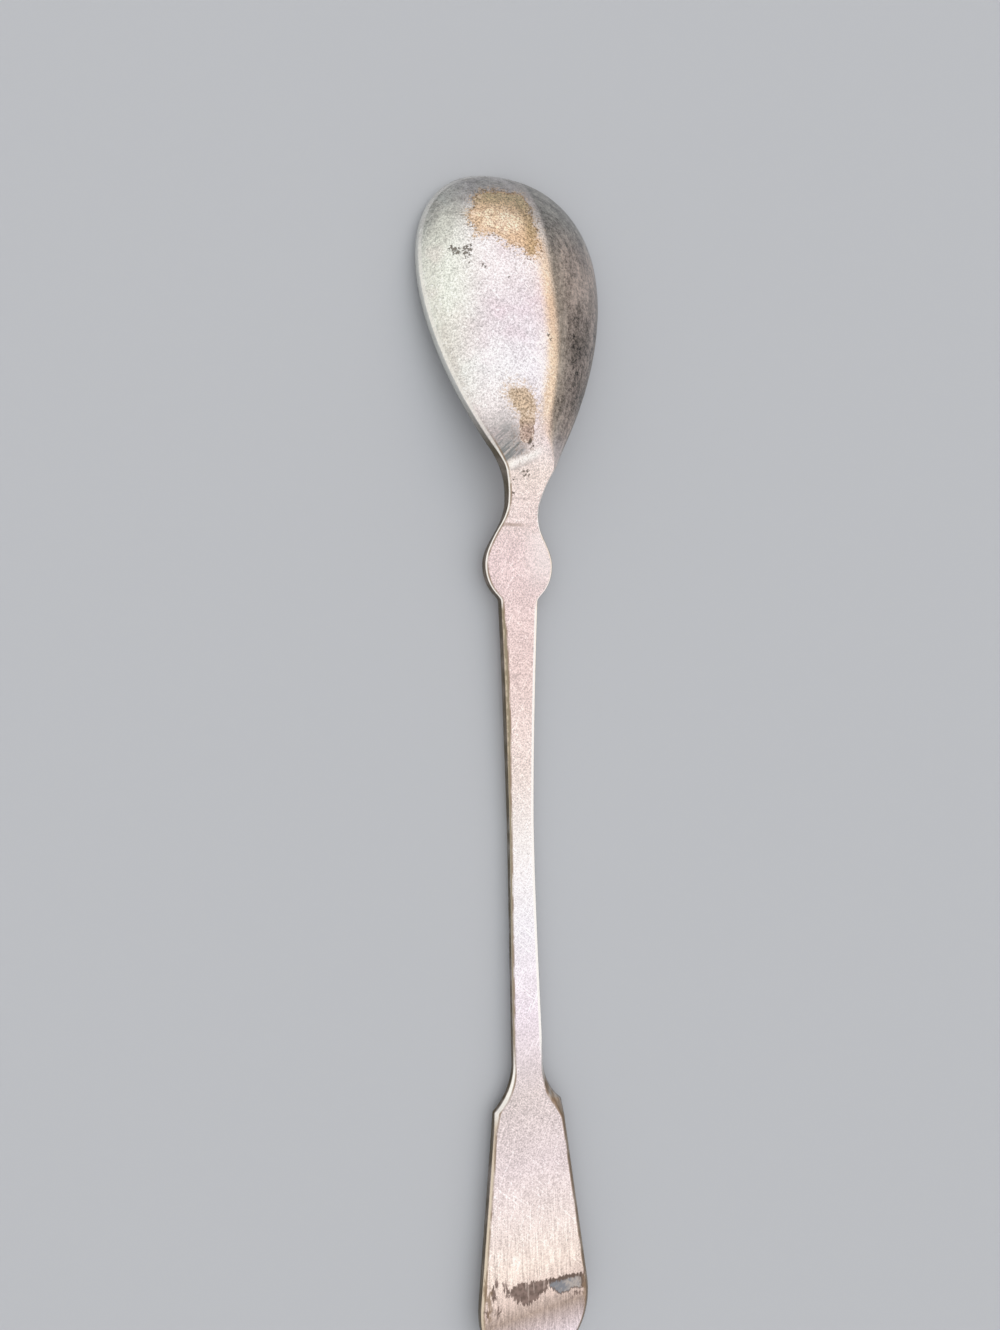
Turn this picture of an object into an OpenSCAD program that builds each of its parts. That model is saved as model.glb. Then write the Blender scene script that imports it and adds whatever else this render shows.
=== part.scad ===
// Demitasse spoon with a flat knop and a fiddle handle: a struck brass blank under a thin silver plate.
// It lies on its front with the back of the bowl up. The bowl points along +Y and the handle along -Y.
// A station is a distance from the bowl's tip along the spoon. The lowest point lies at z = 0.

/* [Overall] */
// Length from the bowl's tip to the end of the handle
length = 110; // [104:1:122]

/* [Bowl] */
// Width of the bowl across its rim
bowl_w = 18.4; // [16:0.1:21]
// Station of the bowl's widest place
bowl_widest = 9.8; // [8:0.1:11]
// Station where the two straightened flanks of the bowl would meet
flank_end = 31; // [29.4:0.1:32]
// Roundness of the bowl's front: 2 is an ellipse, more is squarer
tip_power = 2.3; // [1.9:0.05:2.7]
// Fullness of the bowl's flanks: 1 is straight, more is fuller
flank_power = 1.8; // [1.5:0.05:2.3]
// Rise of the bowl's back above its rim
bowl_depth = 4.9; // [3.8:0.1:6]
// Thickness of the rim's edge at the bowl's widest place
rim_t = 0.5; // [0.4:0.05:0.8]
// Thickness of the rim's edge at the heel
heel_t = 0.9; // [0.7:0.05:1.1]
// Width of the flat on the rim's front
rim_flat = 0.5; // [0.3:0.05:0.9]
// Thickness of the metal at the middle of the bowl
floor_t = 0.85; // [0.6:0.05:1.3]
// Station where the hollow runs out towards the neck
hollow_end = 25.6; // [23:0.1:26.5]

/* [Neck and knop] */
// Width of the neck at its narrowest
neck_w = 3.1; // [2.4:0.1:4]
// Thickness of the neck
neck_t = 1.35; // [1.15:0.05:1.9]
// Width of the knop
knop_w = 6.8; // [5:0.1:8.4]
// Station of the knop's widest place
knop_pos = 36.4; // [35.6:0.1:38]
// Length of the knop's slow flank, towards the bowl
knop_front = 5.3; // [4.2:0.1:5.9]
// Length of the knop's quick flank, towards the stem
knop_rear = 3.6; // [3:0.1:4.5]
// Blend of the bowl's flanks into the neck
heel_blend = 2; // [1:0.1:2.6]

/* [Stem] */
// Width of the stem where it leaves the knop
stem_top_w = 4; // [3.2:0.1:4.8]
// Width of the stem at its narrowest
stem_mid_w = 2.35; // [2:0.05:2.9]
// Width of the stem where the shoulders begin
stem_low_w = 3; // [2.5:0.05:3.6]
// Distance over which the stem narrows below the knop
stem_narrow = 32; // [24:0.5:34]
// Thickness of the stem
stem_t = 1.4; // [1.15:0.05:1.8]

/* [Fiddle handle] */
// Length of the handle from the start of the shoulders to its end
fiddle_len = 27.6; // [24:0.2:31]
// Radius of the hollow flare of each shoulder
shoulder_r = 5.5; // [4.4:0.1:7]
// Width between the two shoulder corners
shoulder_w = 6.9; // [5.8:0.1:8.2]
// Width of the handle where its end begins to round
blade_w = 10.9; // [9:0.1:12.8]
// Length of the rounded end
end_len = 6.6; // [5:0.1:8.2]
// Roundness of the end: 2 is an ellipse, more is squarer
end_power = 2.15; // [1.9:0.05:2.6]
// Thickness of the handle
blade_t = 1.1; // [0.95:0.05:1.5]
// Length of the turned end
turn_len = 8; // [5:0.2:11]
// Rise of the turned end towards the back
turn_rise = 0.25; // [0:0.05:1]

/* [Edges] */
// Bevel along the back of the rim
rim_bevel = 0.32; // [0.2:0.02:0.36]
// Slope of that bevel
rim_slope = 52; // [44:1:54]
// Bevel along the back of the neck, knop and stem
stem_bevel = 0.18; // [0.1:0.02:0.28]
// Bevel on the back of each shoulder's corner
shoulder_bevel = 0.7; // [0.4:0.05:0.9]
// Length over which that bevel narrows below the corner
shoulder_cut = 1.6; // [0.8:0.1:3]
// Bevel along the back of the handle
blade_bevel = 0.34; // [0.2:0.02:0.44]
// Slope of the bevels on the neck, stem and handle
bevel_slope = 34; // [25:1:42]
// Rise of the rounded front at the edges of the neck, knop and stem
stem_round = 0.6; // [0.3:0.05:0.75]
// Rise of the rounded front at the edges of the handle
blade_round = 0.3; // [0.15:0.05:0.4]

/* [Side profile] */
// Tilt of the rim at the heel, rising from the tip
bowl_tilt = 10.7; // [9:0.1:12.5]
// Lift of the rim's tip above that slope
tip_lift = 1.45; // [0.8:0.05:1.8]
// Station where the rim meets the falling neck
heel_pos = 27.5; // [26.8:0.1:28.4]
// Fall of the neck
neck_drop = 27.2; // [24:0.2:30]
// Station where the neck meets the stem
neck_foot = 33.4; // [32.6:0.1:34]
// Fall of the stem
stem_drop = 1.8; // [1.4:0.05:2.2]
// Station where the stem lies lowest
stem_low = 59; // [55:0.1:64]
// Rise of the handle beyond its lowest place
end_rise = 1.4; // [0.8:0.05:2]

/* [Plate] */
// Thickness of the silver plate
plate_t = 0.03; // [0.02:0.005:0.06]
// Length of the worn patch near the bowl's tip
tip_wear_len = 7.2; // [4:0.1:8]
// Width of the worn patch near the bowl's tip
tip_wear_w = 5.8; // [3:0.1:7]
// Station of the middle of that patch
tip_wear_pos = 6; // [5:0.1:6.8]
// Place of the middle of that patch across the bowl
tip_wear_x = -2.1; // [-2.4:0.1:2.4]
// Length of the worn streak near the heel
heel_wear_len = 5.2; // [3:0.1:6]
// Width of the worn streak near the heel
heel_wear_w = 1.8; // [1.4:0.1:2.6]
// Station of the middle of that streak
heel_wear_pos = 23.8; // [20:0.1:24.2]
// Place of the middle of that streak across the bowl
heel_wear_x = -1.3; // [-1.8:0.1:1.8]
// Lean of that streak to the axis
heel_wear_lean = 17; // [-25:1:25]

/* [Hidden] */

// Stations worked out from the sizes above
shoulder_pos = length - fiddle_len;
end_pos = length - end_len;
turn_pos = length - turn_len;
knop_tail = knop_pos + knop_rear;
flare_w = (shoulder_w - stem_low_w) / 2;
corner_pos = shoulder_pos + sqrt(pow(shoulder_r, 2) - pow(shoulder_r - flare_w, 2));

// Depth of the hollow, and the share of the back's rise that is left at the heel
hollow_depth = bowl_depth + rim_t - floor_t;
heel_share = 0.25;
rim_curve = 0.85;
back_curve = 1.8;
// Softness of the blends: creases on the back, and the long sag of the stem
crease_blend = 0.25;
front_blend = 1.2;
sag_blend = 0.6;
knop_blend = 0.4;

// Heights where the runs of the front meet
heel_z = rim_line(heel_pos);
foot_z = neck_line(neck_foot);
low_z = stem_line(stem_low);

// Curves shared by all outlines
function clamp(v, low, high) = max(low, min(high, v));
function share(v, low, high) = clamp((v - low) / (high - low), 0, 1);
function blend_max(a, b, k) =
    let (h = clamp(0.5 + (a - b) / (2 * k), 0, 1)) b + (a - b) * h + k * h * (1 - h);
function blend_min(a, b, k) = -blend_max(-a, -b, k);
function unit(v) = v / norm(v);

// Half widths of the plan at a station
function flank(s) = bowl_w / 2 * (1 - pow(share(s, bowl_widest, flank_end), flank_power));
function knop_rise(s) =
    neck_w / 2 + (knop_w - neck_w) / 2 * pow(sin(90 * share(s, knop_pos - knop_front, knop_pos)), 2);
function knop_fall(s) = knop_w / 2 * sqrt(1 - pow(share(s, knop_pos, knop_tail), 2));
function stem(s) =
    stem_mid_w / 2
    + (stem_top_w - stem_mid_w) / 2 * pow(1 - share(s, knop_pos, knop_pos + stem_narrow), 2)
    + (stem_low_w - stem_mid_w) / 2 * share(s, knop_pos + stem_narrow * 0.75, shoulder_pos);
function flare(s) =
    stem_low_w / 2 + shoulder_r - sqrt(pow(shoulder_r, 2) - pow(s - shoulder_pos, 2));
function blade(s) =
    shoulder_w / 2 + (blade_w - shoulder_w) / 2 * (s - corner_pos) / (end_pos - corner_pos);
function half_width(s) =
    s < knop_pos ? blend_max(flank(s), knop_rise(s), heel_blend)
    : s < shoulder_pos ? blend_max(knop_fall(s), stem(s), knop_blend)
    : s < corner_pos ? flare(s)
    : blade(s);

// Runs of the front, seen from the side: the bowed rim and three straight ones
function rim_line(s) = tan(bowl_tilt) * s + tip_lift * pow(1 - share(s, 0, heel_pos), 2);
function neck_line(s) = heel_z - tan(neck_drop) * (s - heel_pos);
function stem_line(s) = foot_z - tan(stem_drop) * (s - neck_foot);
function blade_line(s) = low_z + tan(end_rise) * (s - stem_low);
function turn(s) = turn_rise * pow(share(s, turn_pos, length), 2);

// Heights of the front and the back, where off is the distance from the axis as a share of the half width
function front(s) =
    let (knop = blend_max(neck_line(s), stem_line(s), front_blend))
    let (shank = blend_max(knop, blade_line(s), sag_blend))
    blend_min(rim_line(s), shank, front_blend) + turn(s);
function back_share(s) =
    let (run = max(0, s - bowl_widest) / (heel_pos - bowl_widest))
    max(0, 1 - (1 - heel_share) * pow(run, back_curve));
function vault(off) = pow(max(0, 1 - off * off), rim_curve);
function rim_edge(s) = rim_t + (heel_t - rim_t) * pow(share(s, bowl_widest, heel_pos), 3);
function dome(s, off) = rim_line(s) + rim_edge(s) + bowl_depth * back_share(s) * vault(off);
function back(s, off) =
    let (knop = blend_max(neck_line(s) + neck_t, stem_line(s) + stem_t, crease_blend))
    let (shank = blend_max(knop, blade_line(s) + blade_t, sag_blend))
    blend_min(dome(s, off), shank, crease_blend) + turn(s);
function hollow(s, off) =
    hollow_depth * (1 - pow(share(s, bowl_widest, hollow_end), back_curve)) * vault(off);
function front_round(s) = lookup(s, [
    [hollow_end, 0],
    [neck_foot, stem_round],
    [shoulder_pos, stem_round],
    [corner_pos, blade_round]
]);
function bevel(s) = lookup(s, [
    [hollow_end, rim_bevel],
    [heel_pos, stem_bevel],
    [shoulder_pos, stem_bevel],
    [corner_pos, shoulder_bevel],
    [corner_pos + shoulder_cut, blade_bevel]
]);
function bevel_drop(s) = bevel(s) * tan(lookup(s, [[hollow_end, rim_slope], [heel_pos, bevel_slope]]));

// Distance of a plan place from the axis as a share of the half width, and the back's height over it
function off_axis(p) =
    p.y < bowl_widest
    ? pow(pow(abs(p.x) / (bowl_w / 2), tip_power) + pow(1 - p.y / bowl_widest, tip_power), 1 / tip_power)
    : p.y > end_pos
    ? pow(pow(abs(p.x) / blade(p.y), end_power) + pow((p.y - end_pos) / end_len, end_power), 1 / end_power)
    : abs(p.x) / half_width(p.y);
function on_back(p) = [p.x, length / 2 - p.y, back(p.y, off_axis(p))];

// Stations along each side, closer where the outline turns quickly
function span(from, to, steps) = [for (i = [0 : steps - 1]) from + (to - from) * i / steps];
SIDE = concat(
    span(bowl_widest, hollow_end, 14),
    span(hollow_end, neck_foot, 8),
    span(neck_foot, knop_tail, 8),
    span(knop_tail, shoulder_pos, 7),
    span(shoulder_pos, corner_pos, 5),
    [corner_pos],
    span(corner_pos + shoulder_cut, turn_pos, 3),
    span(turn_pos, end_pos, 2),
    [end_pos]
);
LAST = len(SIDE) - 1;
TIP_STEPS = 24;
END_STEPS = 12;

// Points where the half sections reach the outline, and the place on the axis that each starts from:
// up the right side, round the tip, down the left side and round the end
function power(v, p) = sign(v) * pow(abs(v), 2 / p);
function tip_rim(a) =
    [bowl_w / 2 * power(cos(a), tip_power), bowl_widest * (1 - power(sin(a), tip_power))];
function end_rim(a) =
    let (s = end_pos + end_len * power(sin(a), end_power)) [-blade(s) * power(cos(a), end_power), s];
LOOP = concat(
    [for (i = [LAST : -1 : 0]) [i, [half_width(SIDE[i]), SIDE[i]]]],
    [for (k = [1 : TIP_STEPS - 1]) [0, tip_rim(180 * k / TIP_STEPS)]],
    [for (i = [0 : LAST]) [i, [-half_width(SIDE[i]), SIDE[i]]]],
    [for (k = [1 : END_STEPS - 1]) [LAST, end_rim(180 * k / END_STEPS)]]
);
ROUND = len(LOOP);
TIP_ROW = LAST + TIP_STEPS / 2;
END_ROW = ROUND - END_STEPS / 2;
function right_row(i) = LAST - i;
function left_row(i) = LAST + TIP_STEPS + i;

// Plan places of the back: rows of points from the axis out to the bevel, before any of them moves
BACK_STEPS = [0.15, 0.3, 0.45, 0.6, 0.75, 0.88, 1];
BACK = len(BACK_STEPS);
function axis_place(r) = [0, SIDE[LOOP[r][0]]];
function toward_rim(r, off) = axis_place(r) + (LOOP[r][1] - axis_place(r)) * off;
function reach(r) = norm(LOOP[r][1] - axis_place(r));
function bevel_off(r) = 1 - bevel(LOOP[r][1].y) / reach(r);
PLAN = [for (r = [0 : ROUND - 1]) [for (f = BACK_STEPS) toward_rim(r, f * bevel_off(r))]];
function plan(r, m) = let (row = (r + ROUND) % ROUND) m < 0 ? axis_place(row) : PLAN[row][m];

// The worn spots: below zero inside an oval that leans to the axis
function oval(p, middle, wide, long, lean) =
    let (d = p - middle)
    let (across = d.x * cos(lean) - d.y * sin(lean))
    let (along = d.x * sin(lean) + d.y * cos(lean))
    pow(across / (wide / 2), 2) + pow(along / (long / 2), 2) - 1;
function worn(p) = min(
    oval(p, [tip_wear_x, tip_wear_pos], tip_wear_w, tip_wear_len, 0),
    oval(p, [heel_wear_x, heel_wear_pos], heel_wear_w, heel_wear_len, heel_wear_lean)
);

// A place with its state: 1 is plated, -1 is worn, and 0 has moved onto the edge of a worn spot,
// towards a neighbour that lies on the other side of that edge
function nearest(p, cuts) =
    let (near = min([for (cut = cuts) cut[0]]))
    [for (cut = cuts) if (cut[0] == near) p + near * (cut[1] - p)][0];
function settled(p, neighbours) =
    let (v = worn(p))
    let (cuts = [for (q = neighbours) let (u = worn(q)) if (v * u < 0 && abs(v) < abs(u)) [v / (v - u), q]])
    len(cuts) == 0 ? [p, sign(v)] : [nearest(p, cuts), 0];
function plan_neighbours(r, m) = concat(
    [plan(r - 1, m), plan(r + 1, m), plan(r, m - 1)],
    m + 1 < BACK ? [plan(r, m + 1)] : []
);
function axis_neighbours(i) = concat(
    i > 0 ? [[0, SIDE[i - 1]]] : [],
    i < LAST ? [[0, SIDE[i + 1]]] : [],
    [for (r = [0 : ROUND - 1]) if (LOOP[r][0] == i) PLAN[r][0]]
);
SETTLED = [for (r = [0 : ROUND - 1]) [for (m = [0 : BACK - 1]) settled(PLAN[r][m], plan_neighbours(r, m))]];
AXIS_SETTLED = [for (i = [0 : LAST]) settled([0, SIDE[i]], axis_neighbours(i))];

// One half section: along the back, over the bevel, down the edge and back along the front
FRONT_STEPS = [1, 0.9, 0.72, 0.48, 0.24];
function raised(p, height) = [p.x, length / 2 - p.y, height];
function half_section(r) =
    let (rim = LOOP[r][1])
    let (edge = on_back(toward_rim(r, bevel_off(r))).z - bevel_drop(rim.y))
    let (front_off = 1 - min(rim_flat, reach(r) / 3) / reach(r))
    concat(
        [for (spot = SETTLED[r]) on_back(spot[0])],
        [raised(rim, edge), raised(rim, front(rim.y) + front_round(rim.y))],
        [for (f = FRONT_STEPS)
            let (p = toward_rim(r, f * front_off))
            raised(p, front(p.y) + hollow(p.y, f) + front_round(p.y) * pow(f * front_off, 3))]
    );

// Points of the whole form before it is lifted onto the ground
SECTIONS = [for (r = [0 : ROUND - 1]) half_section(r)];
BACK_AXIS = [for (spot = AXIS_SETTLED) on_back(spot[0])];
FRONT_AXIS = [for (s = SIDE) raised([0, s], front(s) + hollow(s, 0))];
DEEP = len(SECTIONS[0]);

// Outward normals, from the neighbours of each point
function neighbour(r, m) =
    let (row = (r + ROUND) % ROUND)
    m < 0 ? BACK_AXIS[LOOP[row][0]] : m == DEEP ? FRONT_AXIS[LOOP[row][0]] : SECTIONS[row][m];
function normal(r, m) =
    unit(cross(neighbour(r, m + 1) - neighbour(r, m - 1), neighbour(r + 1, m) - neighbour(r - 1, m)));
function axis_normal(axis, i, m) =
    let (ahead = i == 0 ? SECTIONS[TIP_ROW][m] : axis[i - 1])
    let (behind = i == LAST ? SECTIONS[END_ROW][m] : axis[i + 1])
    unit(cross(SECTIONS[right_row(i)][m] - SECTIONS[left_row(i)][m], ahead - behind));

// Points of the form grown outwards along its normals: the half sections, then the axis on the back and front
function grown(skin) = concat(
    [for (r = [0 : ROUND - 1]) for (m = [0 : DEEP - 1]) SECTIONS[r][m] + skin * normal(r, m)],
    [for (i = [0 : LAST]) BACK_AXIS[i] + skin * axis_normal(BACK_AXIS, i, 0)],
    [for (i = [0 : LAST]) FRONT_AXIS[i] - skin * axis_normal(FRONT_AXIS, i, DEEP - 1)]
);
BLANK_POINTS = grown(0);
PLATE_POINTS = grown(plate_t);
LOWEST = min([for (p = PLATE_POINTS) p.z]);
function corner(r, m) = (r % ROUND) * DEEP + m;
function back_axis(r) = ROUND * DEEP + LOOP[r % ROUND][0];
function front_axis(r) = back_axis(r) + LAST + 1;

// State of each point, in the same order
STATES = concat(
    [for (r = [0 : ROUND - 1]) for (m = [0 : DEEP - 1]) m < BACK ? SETTLED[r][m][1] : 1],
    [for (spot = AXIS_SETTLED) spot[1]],
    [for (s = SIDE) 1]
);
POINTS = len(STATES);

// Triangles of the form. A square that has a plated and a worn corner is cut between them.
function quad(a, b, c, d) =
    a == b ? [[a, c, d]]
    : c == d ? [[a, b, c]]
    : STATES[a] * STATES[c] < 0 ? [[a, b, d], [b, c, d]]
    : [[a, b, c], [a, c, d]];
FACES = [
    for (r = [0 : ROUND - 1])
        for (face = concat(
            quad(back_axis(r), back_axis(r + 1), corner(r + 1, 0), corner(r, 0)),
            [for (m = [0 : DEEP - 2])
                each quad(corner(r, m), corner(r + 1, m), corner(r + 1, m + 1), corner(r, m + 1))],
            quad(corner(r, DEEP - 1), corner(r + 1, DEEP - 1), front_axis(r + 1), front_axis(r))
        )) face
];
function plated(face) = max([for (k = face) STATES[k]]) > 0;

// Triangles of the plate: its outside, its inside, and the wall round each worn spot
OUTSIDE = [for (face = FACES) if (plated(face)) face];
INSIDE = [for (face = OUTSIDE) [for (k = [2 : -1 : 0]) face[k] + POINTS]];
SPOT_EDGES = [for (face = FACES) if (!plated(face)) for (k = [0 : 2]) [face[k], face[(k + 1) % 3]]];
function shared(edge) = len([for (other = SPOT_EDGES) if (other == [edge[1], edge[0]]) 1]) > 0;
WALL = [
    for (edge = SPOT_EDGES)
        if (!shared(edge))
            each [[edge[0], edge[1], edge[1] + POINTS], [edge[0], edge[1] + POINTS, edge[0] + POINTS]]
];

module lifted() {
    translate([0, 0, -LOWEST])
        children();
}

module brass_blank() {
    color("#b08a4a")
        lifted()
            polyhedron(points = BLANK_POINTS, faces = FACES, convexity = 4);
}

module silver_plate() {
    color("#d9d6d2")
        lifted()
            polyhedron(
                points = concat(PLATE_POINTS, BLANK_POINTS),
                faces = concat(OUTSIDE, INSIDE, WALL),
                convexity = 6
            );
}

brass_blank();
silver_plate();
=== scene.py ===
"""A worn silver-plated demitasse spoon, lying back up on a pale floor."""
import math

import bpy
import numpy as np
from mathutils import Matrix, Vector


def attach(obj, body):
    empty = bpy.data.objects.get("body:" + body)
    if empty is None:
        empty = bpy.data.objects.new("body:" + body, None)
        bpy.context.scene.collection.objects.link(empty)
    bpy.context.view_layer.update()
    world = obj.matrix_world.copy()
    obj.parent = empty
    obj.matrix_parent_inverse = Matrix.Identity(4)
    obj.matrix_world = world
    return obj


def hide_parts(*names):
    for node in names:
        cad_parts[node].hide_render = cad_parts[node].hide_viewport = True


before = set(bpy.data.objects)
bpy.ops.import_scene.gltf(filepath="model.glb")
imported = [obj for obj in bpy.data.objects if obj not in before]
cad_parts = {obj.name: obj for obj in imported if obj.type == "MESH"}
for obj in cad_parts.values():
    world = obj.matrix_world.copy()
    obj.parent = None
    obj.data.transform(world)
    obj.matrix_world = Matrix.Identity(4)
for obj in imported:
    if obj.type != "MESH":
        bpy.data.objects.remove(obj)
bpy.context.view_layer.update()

MM = 0.001

# Form, in millimetres and degrees, with stations measured along the axis from the bowl's tip
LENGTH = 110
BOWL_W = 18.4
BOWL_WIDEST = 9.8
BOWL_DEPTH = 4.9
FLANK_END = 31
TIP_POWER = 2.3
FLANK_POWER = 1.8
RIM_T = 0.5
HEEL_T = 0.9
RIM_FLAT = 0.5
FLOOR_T = 0.85
HOLLOW_END = 25.6
NECK_W = 3.1
NECK_T = 1.35
HEEL_BLEND = 2
KNOP_W = 6.8
KNOP_POS = 36.4
KNOP_FRONT = 5.3
KNOP_REAR = 3.6
STEM_TOP_W = 4
STEM_MID_W = 2.35
STEM_LOW_W = 3
STEM_NARROW = 32
STEM_T = 1.4
FIDDLE_LEN = 27.6
SHOULDER_R = 5.5
SHOULDER_W = 6.9
BLADE_W = 10.9
BLADE_T = 1.1
END_LEN = 6.6
END_POWER = 2.15
TURN_LEN = 8
TURN_RISE = 0.25
RIM_BEVEL = 0.32
RIM_SLOPE = 52
STEM_BEVEL = 0.18
SHOULDER_BEVEL = 0.7
SHOULDER_CUT = 1.6
BLADE_BEVEL = 0.34
BEVEL_SLOPE = 34
STEM_ROUND = 0.6
BLADE_ROUND = 0.3
BOWL_TILT = 10.7
TIP_LIFT = 1.45
HEEL_POS = 27.5
NECK_DROP = 27.2
NECK_FOOT = 33.4
STEM_DROP = 1.8
STEM_LOW = 59
END_RISE = 1.4
PLATE_T = 0.03

# How the form's lines run into one another
HEEL_SHARE = 0.25
RIM_CURVE = 0.85
BACK_CURVE = 1.8
CREASE_BLEND = 0.25
FRONT_BLEND = 1.2
SAG_BLEND = 0.6
KNOP_BLEND = 0.4
STEM_WIDENS = 0.75
RIM_FLAT_MOST = 1 / 3

# Shares by which the bevel is worn wider, near the corners and on the left of the stem and the blade
RUBBED_RIGHT = 0.6
RUBBED_RIGHT_REACH = 2
RUBBED_LEFT = -0.45
RUBBED_LEFT_REACH = 5
STEM_WIDER = 1.0
BLADE_NARROWER = -0.25
# The right edge of the neck, knop and stem is rubbed flatter, by this share of its bevel's drop
FLATTER = 0.65

# Stations and sizes that follow from those above
SHOULDER_POS = LENGTH - FIDDLE_LEN
END_POS = LENGTH - END_LEN
TURN_POS = LENGTH - TURN_LEN
KNOP_TAIL = KNOP_POS + KNOP_REAR
FLARE_W = (SHOULDER_W - STEM_LOW_W) / 2
CORNER_POS = SHOULDER_POS + math.sqrt(SHOULDER_R ** 2 - (SHOULDER_R - FLARE_W) ** 2)
HOLLOW_DEPTH = BOWL_DEPTH + RIM_T - FLOOR_T

# Where that wear begins and is full, and where it starts to fade and ends, by station
STEM_WIDE_RUN = (KNOP_TAIL, KNOP_TAIL + 3, 50, 58)
BLADE_NARROW_START = (CORNER_POS, CORNER_POS + 3)
FLATTER_RUN = (HEEL_POS, NECK_FOOT, SHOULDER_POS - 2, SHOULDER_POS)

# Spacing of the mesh along the sides, and steps round the tip, the end and half a section
SPACING = [
    (BOWL_WIDEST, HEEL_POS, 0.28),
    (HEEL_POS, KNOP_TAIL, 0.22),
    (KNOP_TAIL, SHOULDER_POS, 0.8),
    (SHOULDER_POS, CORNER_POS, 0.16),
    (CORNER_POS, CORNER_POS + SHOULDER_CUT, 0.16),
    (CORNER_POS + SHOULDER_CUT, END_POS, 0.4),
]
TIP_STEPS = 110
END_STEPS = 56
BACK_STEPS = 36
FRONT_STEPS = 20
BEVEL_SHARES = [0.25, 0.5, 0.75]
WALL_SHARES = [0.0, 0.12, 0.5, 0.88, 1.0]
BEVEL_END = BACK_STEPS + len(BEVEL_SHARES)
WALL_END = BEVEL_END + len(WALL_SHARES)

# Outlines of the bare patch near the tip and of the stains near the end: x, station
TIP_WEAR = [
    (-4.3, 3.6), (-3.6, 2.8), (-1.9, 2.7), (0.35, 2.4), (0.75, 4.8), (0.5, 8.4),
    (0.1, 9.6), (-0.8, 9.5), (-3.4, 7.9), (-4.7, 7.7), (-5.3, 6.1),
]
BROWN_STAIN = [
    (-2.55, 102.5), (-2.05, 102.35), (-0.5, 102.4), (0.3, 102.45), (1.3, 102.7), (1.2, 103.5),
    (0.1, 104.05), (-0.55, 104.35), (-1.05, 104.45), (-1.65, 104.15), (-2.2, 103.55), (-2.6, 102.95),
]
BLUE_STAIN = [
    (1.22, 102.75), (2.0, 102.75), (3.3, 102.8), (4.65, 103.05), (4.8, 104.1), (4.65, 104.55),
    (3.8, 104.15), (3.5, 104.35), (2.55, 104.4), (2.0, 104.05), (1.25, 103.35),
]
# Places on the back, each an oval: x, station, half width, half length, lean
HEEL_WEAR = [(-1.35, 22.35, 1.05, 1.7, -42), (-0.92, 24.6, 0.9, 1.95, 6)]
THIN_WEAR = [(0.95, 21.6, 0.3, 1.9, 8)]
# The brass patch's lighter middle, a painted highlight
BRASS_PAINTED_SHEEN = [(-2.05, 6.3, 1.95, 0.9, 8)]
SMALL_STAIN = [
    (4.95, 103.8, 0.3, 0.9, 0), (4.2, 104.75, 0.5, 0.16, -15), (-3.0, 102.8, 0.25, 0.35, 0),
    (-3.15, 101.9, 0.18, 0.3, 0), (-3.95, 102.0, 0.2, 0.4, 0), (-4.3, 102.6, 0.2, 0.35, 0),
    (-3.95, 104.2, 0.22, 0.35, 0), (-5.0, 104.05, 0.25, 0.3, 0),
]
EDGE_STAIN = [(-5.05, 102.0, 0.2, 0.8, 0), (-4.75, 103.2, 0.16, 1.2, 0), (5.15, 104.6, 0.25, 1.2, 0)]
HEEL_PIT = [(-0.6, 25.8, 0.16, 0.3, 15)]
# Pits: x, station, radius
PITS = [
    (-6.9, 8.8, 0.16), (-6.65, 9.05, 0.2), (-6.45, 9.35, 0.15), (-6.75, 9.4, 0.12), (-6.3, 9.0, 0.1),
    (-5.95, 9.0, 0.14), (-5.7, 8.85, 0.13), (-5.55, 9.15, 0.16), (-5.85, 9.45, 0.15), (-5.6, 9.6, 0.13),
    (-5.45, 8.8, 0.1), (-6.05, 9.3, 0.1), (-5.75, 9.9, 0.1), (-5.65, 10.3, 0.11), (-4.6, 10.6, 0.12),
    (-4.4, 10.85, 0.08), (-2.5, 11.7, 0.09), (1.1, 16.4, 0.1), (1.35, 16.8, 0.07), (6.2, 14.4, 0.14),
    (-0.75, 28.3, 0.1), (-0.5, 28.5, 0.11), (-0.3, 28.2, 0.09), (-0.15, 28.55, 0.08), (-1.55, 28.9, 0.08),
    (-1.3, 30.1, 0.1), (-0.38, 26.3, 0.09), (-0.22, 26.15, 0.1),
]
# Single scratches, each from one place to another: x, station
SCRATCHES = [
    ((-4.1, 12.5), (-3.0, 14.2)), ((-3.0, 14.2), (-2.2, 15.7)), ((-3.75, 14.4), (-2.4, 15.4)),
    ((-5.3, 13.1), (-4.7, 14.5)), ((1.6, 90.3), (3.3, 89.7)), ((-2.2, 93.0), (-1.2, 94.8)),
]
SCRATCH_W = 0.09
# The line between the bowl's bright and dark sides: stations, and x there
FLANK_STATIONS = [2, 5, 9, 16, 19, 23, 26.4]
FLANK_X = [1.2, 1.28, 1.33, 2.05, 2.0, 1.33, 1.1]
# The slanting ridge on the heel, from one place to another: x, station
RIDGE_FROM = (-2.3, 27.9)
RIDGE_TO = (0.8, 26.45)
RIDGE_W = 0.3
RIDGE_H = 0.08
# Where its marks begin, are full, start to fade and end, by the share of its length
RIDGE_RUN = (0, 0.2, 0.65, 1)
RIDGE_LIGHT_RUN = (-0.1, 0.1, 0.75, 1.1)
SHADE_LINE_RUN = (0, 0.2, 0.6, 1)
SHADE_SIDE = (0.8, 0.34)
# Painted grey shade beside the ridge by the distance from it, and a soft painted shade line on the other
# side
SHADE_RUN = (0.1, 0.5, 1.2, 6.6)
SHADE_LINE = 0.42
SHADE_LINE_W = 0.18
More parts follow.
